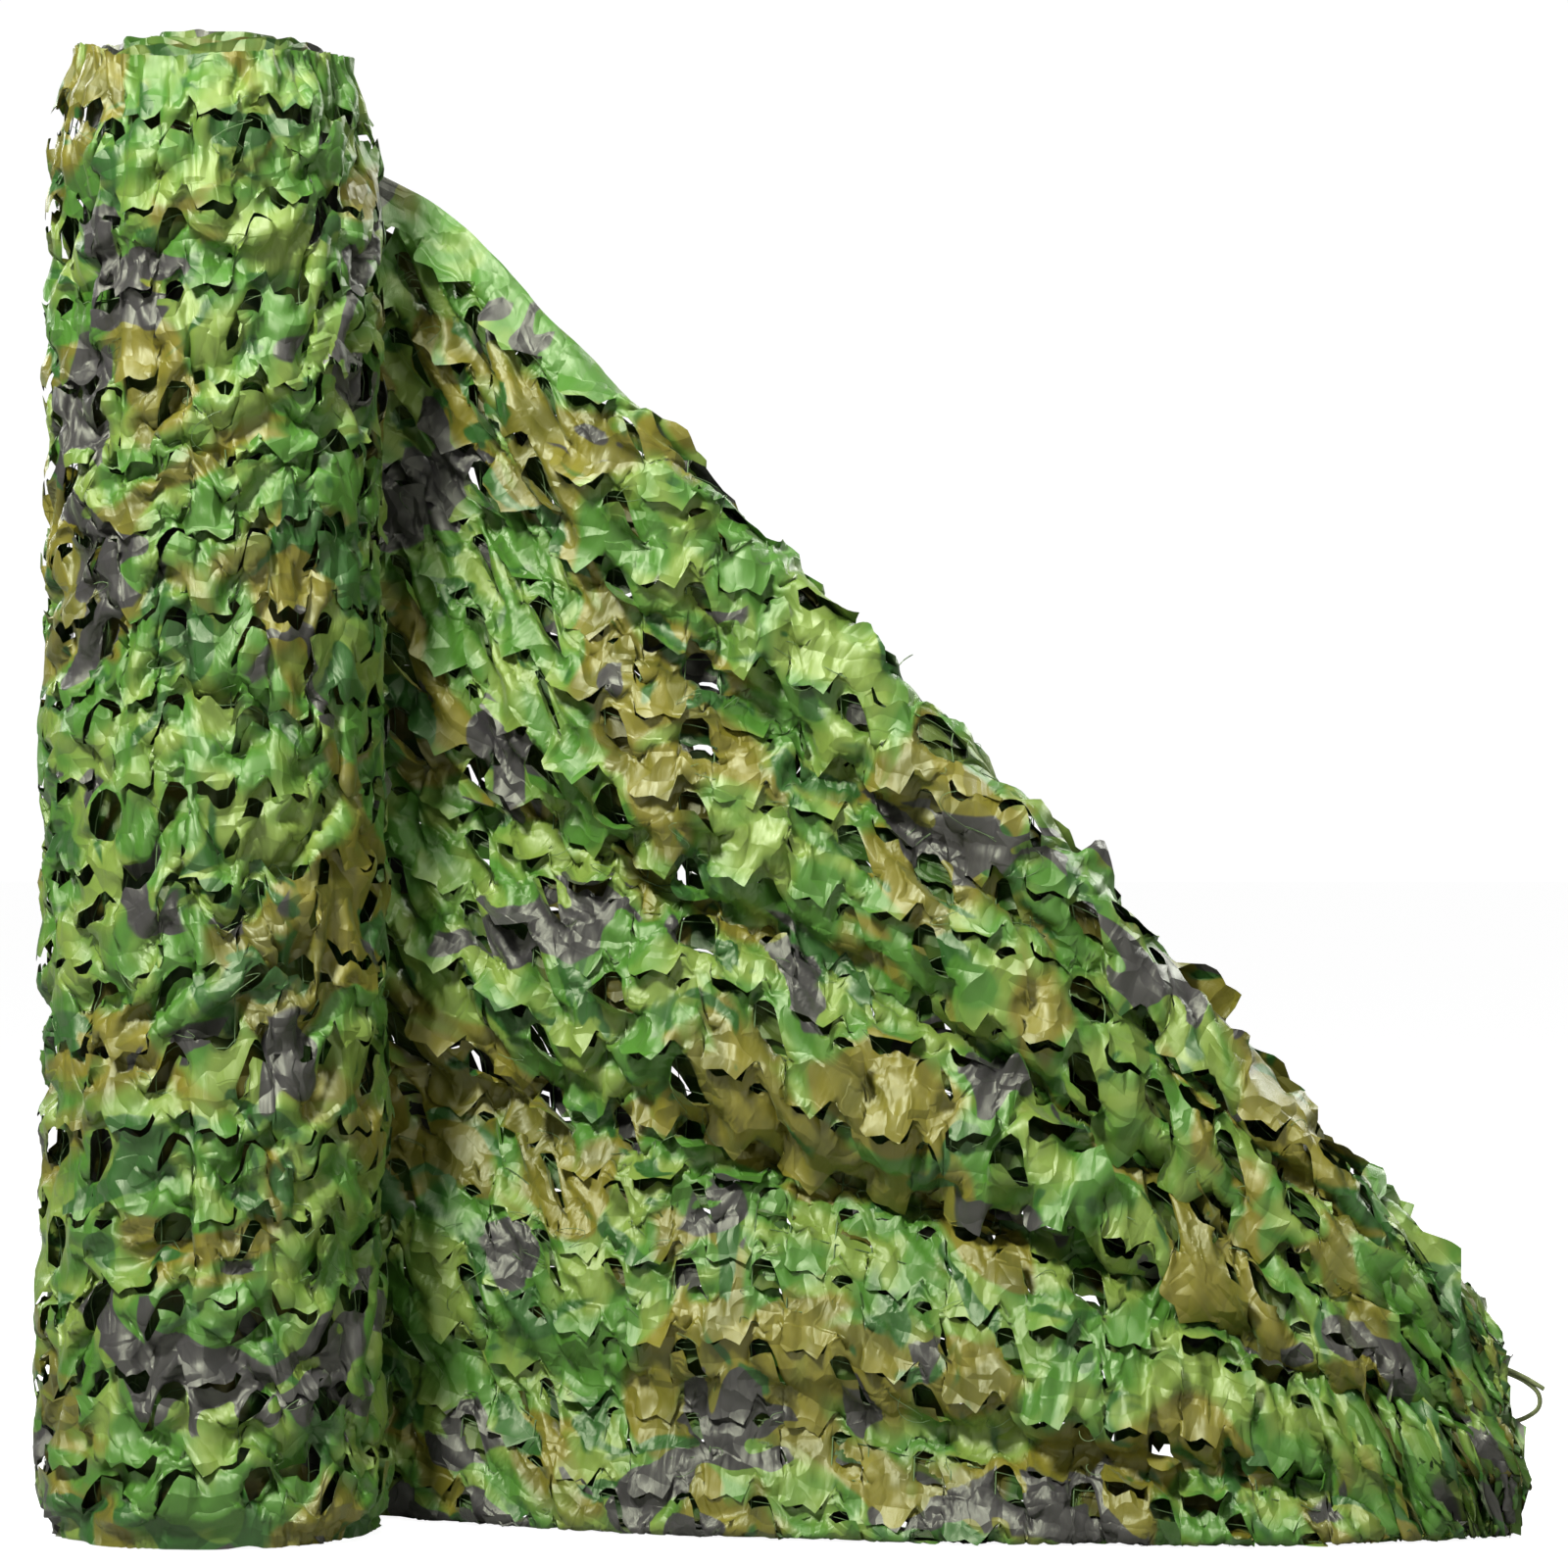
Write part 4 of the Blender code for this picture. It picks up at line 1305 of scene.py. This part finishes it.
end_points = raise_tongues(
    end_points, end_normal, end_along, end_across, end_angle, END_GROWTH, END_LEAF_SEED
)
end_points[..., 2] = np.maximum(end_points[..., 2], LOWEST)
end_points[..., 0] = np.minimum(end_points[..., 0], END_FURTHEST)
end_faces = grid_faces(*end_along.shape)[~(end_cut[:, :-1] & end_cut[:, 1:]).ravel()]
end_uvs = np.stack((end_along + END_PRINT_SHIFT, end_across), axis=-1).reshape(-1, 2)
end_mesh = surface_mesh("turned_in_end", end_points.reshape(-1, 3), end_faces, end_uvs)
turned_in = add_piece("turned_in_end", end_mesh, leaf_cloth)
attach(turned_in, "root")
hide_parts("loose_end")

# ---- Backing twine and loose threads ----
# A square mesh of thin green twine that the leaf cloth is stitched to from behind, and the short
# frayed threads at its stitches. Both show in the gaps between leaves, and stop short of the end.
TWINE_RADIUS = 0.0007
TWINE_BEHIND = 0.0035
TWINE_LEVELS = (0.038, 0.080)
TWINE_COLUMNS = (0, 10)
TWINE_REPEATS = REPEATS_TURN + REPEATS_LOOSE - 3
TWINE_EVERY = 2
TWINE_MARGIN = 0.004
TWINE_HEIGHTS = 131
TWINE_LOWEST = 0.0008
TWINE_GREEN = (0.10, 0.17, 0.06)
TWINE_ROUGHNESS = 0.75
TWINE_MOTTLE_SCALE = 90.0
TWINE_DARK = 0.5
TWINE_PALE = 1.7
THREADS = 480
THREAD_SEED = 41
THREAD_RADIUS = 0.0004
THREAD_POINTS = 9
THREAD_ROWS = 6
THREAD_REACH = (0.010, 0.036)
THREAD_TURNS = (2.0, 6.0)
THREAD_BACK = 0.002
THREAD_OUT = 0.15
THREAD_OUT_WAVE = 2.6
THREAD_SIDE = 0.6
THREAD_WAVE = 3.0
THREAD_WAVER = 0.5
THREAD_FALL = 0.4
THREAD_LOWEST = 0.0005
THREAD_GREEN = (0.13, 0.21, 0.08)
STEEP = 0.8


def tubes(paths, radius, sides=3):
    """Thin tubes round many paths of equal count: each path point carries a ring square to the path."""
    run = unit(np.gradient(paths, axis=1))
    guide = np.where(np.abs(run[..., 2:3]) > STEEP, [1.0, 0.0, 0.0], [0.0, 0.0, 1.0])
    side = unit(np.cross(run, guide))
    over = np.cross(run, side)
    angle = (np.arange(sides + 1) * 2.0 * math.pi / sides)[:, None]
    ring = side[:, :, None] * np.cos(angle) + over[:, :, None] * np.sin(angle)
    ring = paths[:, :, None] + radius * ring
    count, steps = paths.shape[:2]
    first = np.arange(count)[:, None, None] * steps * (sides + 1)
    faces = grid_faces(steps, sides + 1)[None, :, ::-1] + first
    return ring.reshape(-1, 3), faces.reshape(-1, 4)


def line_across(place, levels):
    """Points of the whole cloth's bed at fixed heights across, column by column: one interpolation."""
    columns = place.shape[1]
    key = (loose_across + KEY_STEP * np.arange(columns)[None, :]).T.ravel()
    wanted = (levels[:, None] + KEY_STEP * np.arange(columns)[None, :]).ravel()
    found = [np.interp(wanted, key, place[..., axis].T.ravel()) for axis in range(3)]
    return np.stack(found, axis=-1).reshape(len(levels), columns, 3)


def twine_material(name, colour):
    """Spun twine: its green varies along its length by noise on Object coordinates."""
    material = plain_material(name, colour, TWINE_ROUGHNESS)
    place = add_node(material, "TexCoord", {}).outputs["Object"]
    mottle = {"Vector": place, "Scale": TWINE_MOTTLE_SCALE}
    mottle = add_node(material, "TexNoise", mottle).outputs["Fac"]
    dark = (*[channel * TWINE_DARK for channel in colour], 1.0)
    pale = (*[min(1.0, channel * TWINE_PALE) for channel in colour], 1.0)
    fill_shader(material, {"Base Color": ramp(material, mottle, first=dark, last=pale)})
    return material


twine_bed = rest_at - bed_normal * TWINE_BEHIND
levels = SELVAGE + REPEAT_ACROSS * np.arange(REPEATS_ACROSS)[:, None] + np.array(TWINE_LEVELS)[None, :]
levels = levels[levels < NET_WIDTH - SELVAGE]
level_lines = line_across(twine_bed, levels)[:, : TWINE_REPEATS * STEPS_ALONG : TWINE_EVERY]
heights = np.linspace(TWINE_MARGIN, NET_WIDTH - TWINE_MARGIN, TWINE_HEIGHTS)
picked = np.arange(TWINE_REPEATS)[:, None] * STEPS_ALONG + np.array(TWINE_COLUMNS)[None, :]
upright_lines = np.transpose(line_across(twine_bed, heights)[:, picked.ravel()], (1, 0, 2))
level_points, level_faces = tubes(level_lines, TWINE_RADIUS)
upright_points, upright_faces = tubes(upright_lines, TWINE_RADIUS)
twine_points = np.concatenate((level_points, upright_points), axis=0)
twine_points[:, 2] = np.maximum(twine_points[:, 2], TWINE_LOWEST)
twine_faces = np.concatenate((level_faces, upright_faces + len(level_points)), axis=0)
twine_mesh = surface_mesh("backing_twine", twine_points, twine_faces)
twine = add_piece("backing_twine", twine_mesh, twine_material("green_twine", TWINE_GREEN))
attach(twine, "root")


def thread_paths(count, seed):
    """Short curls that start at random stitches and wander out, down and sideways as sums of sines."""
    chance = np.random.default_rng(seed)
    row = chance.integers(THREAD_ROWS, settled.shape[0] - THREAD_ROWS, count)
    stitch = chance.integers(0, TWINE_REPEATS * 2, count)
    column = stitch // 2 * STEPS_ALONG + np.array(TWINE_COLUMNS)[stitch % 2]
    column = np.minimum(column, settled.shape[1] - 2)
    root = settled[row, column]
    face = bed_normal[row, column]
    share = np.linspace(0.0, 1.0, THREAD_POINTS)[None, :, None]
    reach = chance.uniform(*THREAD_REACH, count)[:, None, None]
    turn = chance.uniform(0.0, 2.0 * math.pi, (2, count))[..., None, None]
    wave = chance.uniform(*THREAD_TURNS, count)[:, None, None]
    level_way = np.stack((-face[:, 1], face[:, 0], np.zeros(count)), axis=-1)[:, None]
    sway = np.sin(turn[0] + share * wave) - np.sin(turn[0])
    out = face[:, None] * (-THREAD_BACK + THREAD_OUT * reach * np.sin(share * THREAD_OUT_WAVE))
    waver = THREAD_WAVER * np.sin(turn[1] + share * THREAD_WAVE) - THREAD_WAVER * np.sin(turn[1])
    down = np.array([0.0, 0.0, 1.0]) * reach * (waver - THREAD_FALL * share)
    return root[:, None] + out + level_way * (THREAD_SIDE * reach * sway) + down


thread_points, thread_faces = tubes(thread_paths(THREADS, THREAD_SEED), THREAD_RADIUS)
thread_points[:, 2] = np.maximum(thread_points[:, 2], THREAD_LOWEST)
thread_mesh = surface_mesh("loose_threads", thread_points, thread_faces)
threads = add_piece("loose_threads", thread_mesh, twine_material("pale_thread", THREAD_GREEN))
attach(threads, "root")

# ---- Turns inside the roll ----
# The same cloth, wound on itself some fourteen turns deep. Between the leaves of the outer turn the
# next turn shows dark, its colours darkened as painted shade, and at the top the plain selvages lie in
# a loose, uneven spiral, a little darkened as painted shade too.
UNDER_GAP = 0.010
UNDER_COLUMNS = 160
UNDER_ROWS = 150
UNDER_LOW = 0.004
UNDER_HIGH = 1.470
UNDER_FOOT = 0.012
UNDER_HEAD = 1.425
UNDER_LENGTH = 0.93
DIMPLE = 0.0022
DIMPLES_ROUND = (3.0, 5.0, 11.0)
DIMPLES_UP = (17.0, 41.0, 29.0)
DIMPLE_SWAY = 2.0
DIMPLE_SECOND = 0.7
DIMPLE_SHIFT = 1.3
UNDER_PRINT_SHIFT = 2.3
# Painted shade: the next turn's colours are darkened to this share, for the shadow under the outer
# turn.
UNDER_PAINTED_SHADE = 0.42
SPIRAL_TURNS = 14
SPIRAL_INNER = 0.022
SPIRAL_STEPS = 132
SPIRAL_ROWS = 6
SPIRAL_LOW = 1.430
SPIRAL_OUTSIDE = 0.3
SPIRAL_WANDERS = Noise(0.11, 31)
SPIRAL_RIPPLES = Noise(0.035, 32)
SPIRAL_DOME = 0.014
SPIRAL_WANDER = 0.011
SPIRAL_RIPPLE = 0.004
SPIRAL_FLARE = 0.0020
SPIRAL_WAVE = 0.0016
SPIRAL_WAVES = (9.0, 3.0)
SPIRAL_PRINT_SHIFT = 5.1
SPIRAL_PRINT_CLOSER = 0.6
# Painted shade: the wound selvages' colours are darkened to this share, for the shade among the turns.
SPIRAL_PAINTED_SHADE = 0.75


def under_turn(columns, rows):
    """Closed tube a little inside the outer turn, dimpled by sines, with a cap sunk in each end."""
    turned = np.linspace(0.0, 2.0 * math.pi, columns, endpoint=False)[None, :]
    level = np.linspace(UNDER_LOW, UNDER_HIGH, rows)[:, None]
    radius = roll_radius(level) - UNDER_GAP
    sway = DIMPLE_SWAY * np.sin(DIMPLES_ROUND[1] * turned)
    dimple = np.sin(DIMPLES_ROUND[0] * turned + DIMPLES_UP[0] * level)
    dimple = dimple * np.sin(DIMPLES_UP[1] * level + sway)
    second = np.sin(DIMPLES_ROUND[2] * turned - DIMPLES_UP[2] * level + DIMPLE_SHIFT)
    radius = radius + DIMPLE * (dimple + DIMPLE_SECOND * second)
    ring_x = ROLL_X + radius * np.cos(turned)
    ring_y = ROLL_Y + radius * np.sin(turned)
    ring = np.stack((ring_x, ring_y, level + 0.0 * turned), axis=-1)
    foot = np.array([ROLL_X, ROLL_Y, UNDER_FOOT])
    head = np.array([ROLL_X, ROLL_Y, UNDER_HEAD])
    low = between(ring[0], foot, np.array([1.0, 0.5])[:, None, None])
    high = between(ring[-1], head, np.array([0.5, 1.0])[:, None, None])
    high[0, :, 2] = head[2]
    points = np.concatenate((low, ring, high), axis=0)
    points = np.concatenate((points, points[:, :1]), axis=1)
    length = np.linspace(0.0, UNDER_LENGTH, columns + 1)[None, :] + 0.0 * points[..., 2]
    uvs = np.stack((length + UNDER_PRINT_SHIFT, points[..., 2]), axis=-1).reshape(-1, 2)
    return surface_mesh("under_turn", points.reshape(-1, 3), grid_faces(*points.shape[:2]), uvs)


under_cloth_painted_shade = leaf_material("under_cloth_painted_shade", UNDER_PAINTED_SHADE)
under = add_piece("under_turn", under_turn(UNDER_COLUMNS, UNDER_ROWS), under_cloth_painted_shade)
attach(under, "root")
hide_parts("roll")


def spiral_edge(level_low, level_high, rows):
    """Wound selvages: a spiral strip whose edge is uneven by smooth noise and whose radius ripples.

    Radius grows evenly with the angle; the strip runs from level_low up to level_high plus the noise.
    """
    count = SPIRAL_TURNS * SPIRAL_STEPS
    turned = np.arange(count + 1) * 2.0 * math.pi / SPIRAL_STEPS
    part = turned / turned[-1]
    outer = roll_radius(NET_WIDTH) - SPIRAL_OUTSIDE * UNDER_GAP
    radius = between(SPIRAL_INNER, outer, part)
    wander = value_noise(radius * turned, np.zeros_like(turned), *SPIRAL_WANDERS)
    ripple = value_noise(radius * turned, np.zeros_like(turned), *SPIRAL_RIPPLES)
    share = np.linspace(0.0, 1.0, rows)[:, None]
    edge = level_high + SPIRAL_DOME * (1.0 - part**2) + SPIRAL_WANDER * wander + SPIRAL_RIPPLE * ripple
    level = between(level_low, edge, share)
    wave = np.sin(SPIRAL_WAVES[0] * turned + SPIRAL_WAVES[1] * wander)
    reach = radius + (SPIRAL_FLARE * ripple * share + SPIRAL_WAVE * wave * share)
    angle = SEAM_ANGLE - turned
    points = np.stack((ROLL_X + reach * np.cos(angle), ROLL_Y + reach * np.sin(angle), level), axis=-1)
    length = radius * turned + 0.0 * level
    uvs = np.stack((length * SPIRAL_PRINT_CLOSER + SPIRAL_PRINT_SHIFT, level), axis=-1).reshape(-1, 2)
    return surface_mesh("spiral_edge", points.reshape(-1, 3), grid_faces(rows, count + 1), uvs)


edge_mesh = spiral_edge(SPIRAL_LOW, NET_WIDTH, SPIRAL_ROWS)
edges = add_piece("wound_edges_top", edge_mesh, leaf_material("edge_cloth_painted_shade", SPIRAL_PAINTED_SHADE))
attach(edges, "root")
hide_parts("roll")
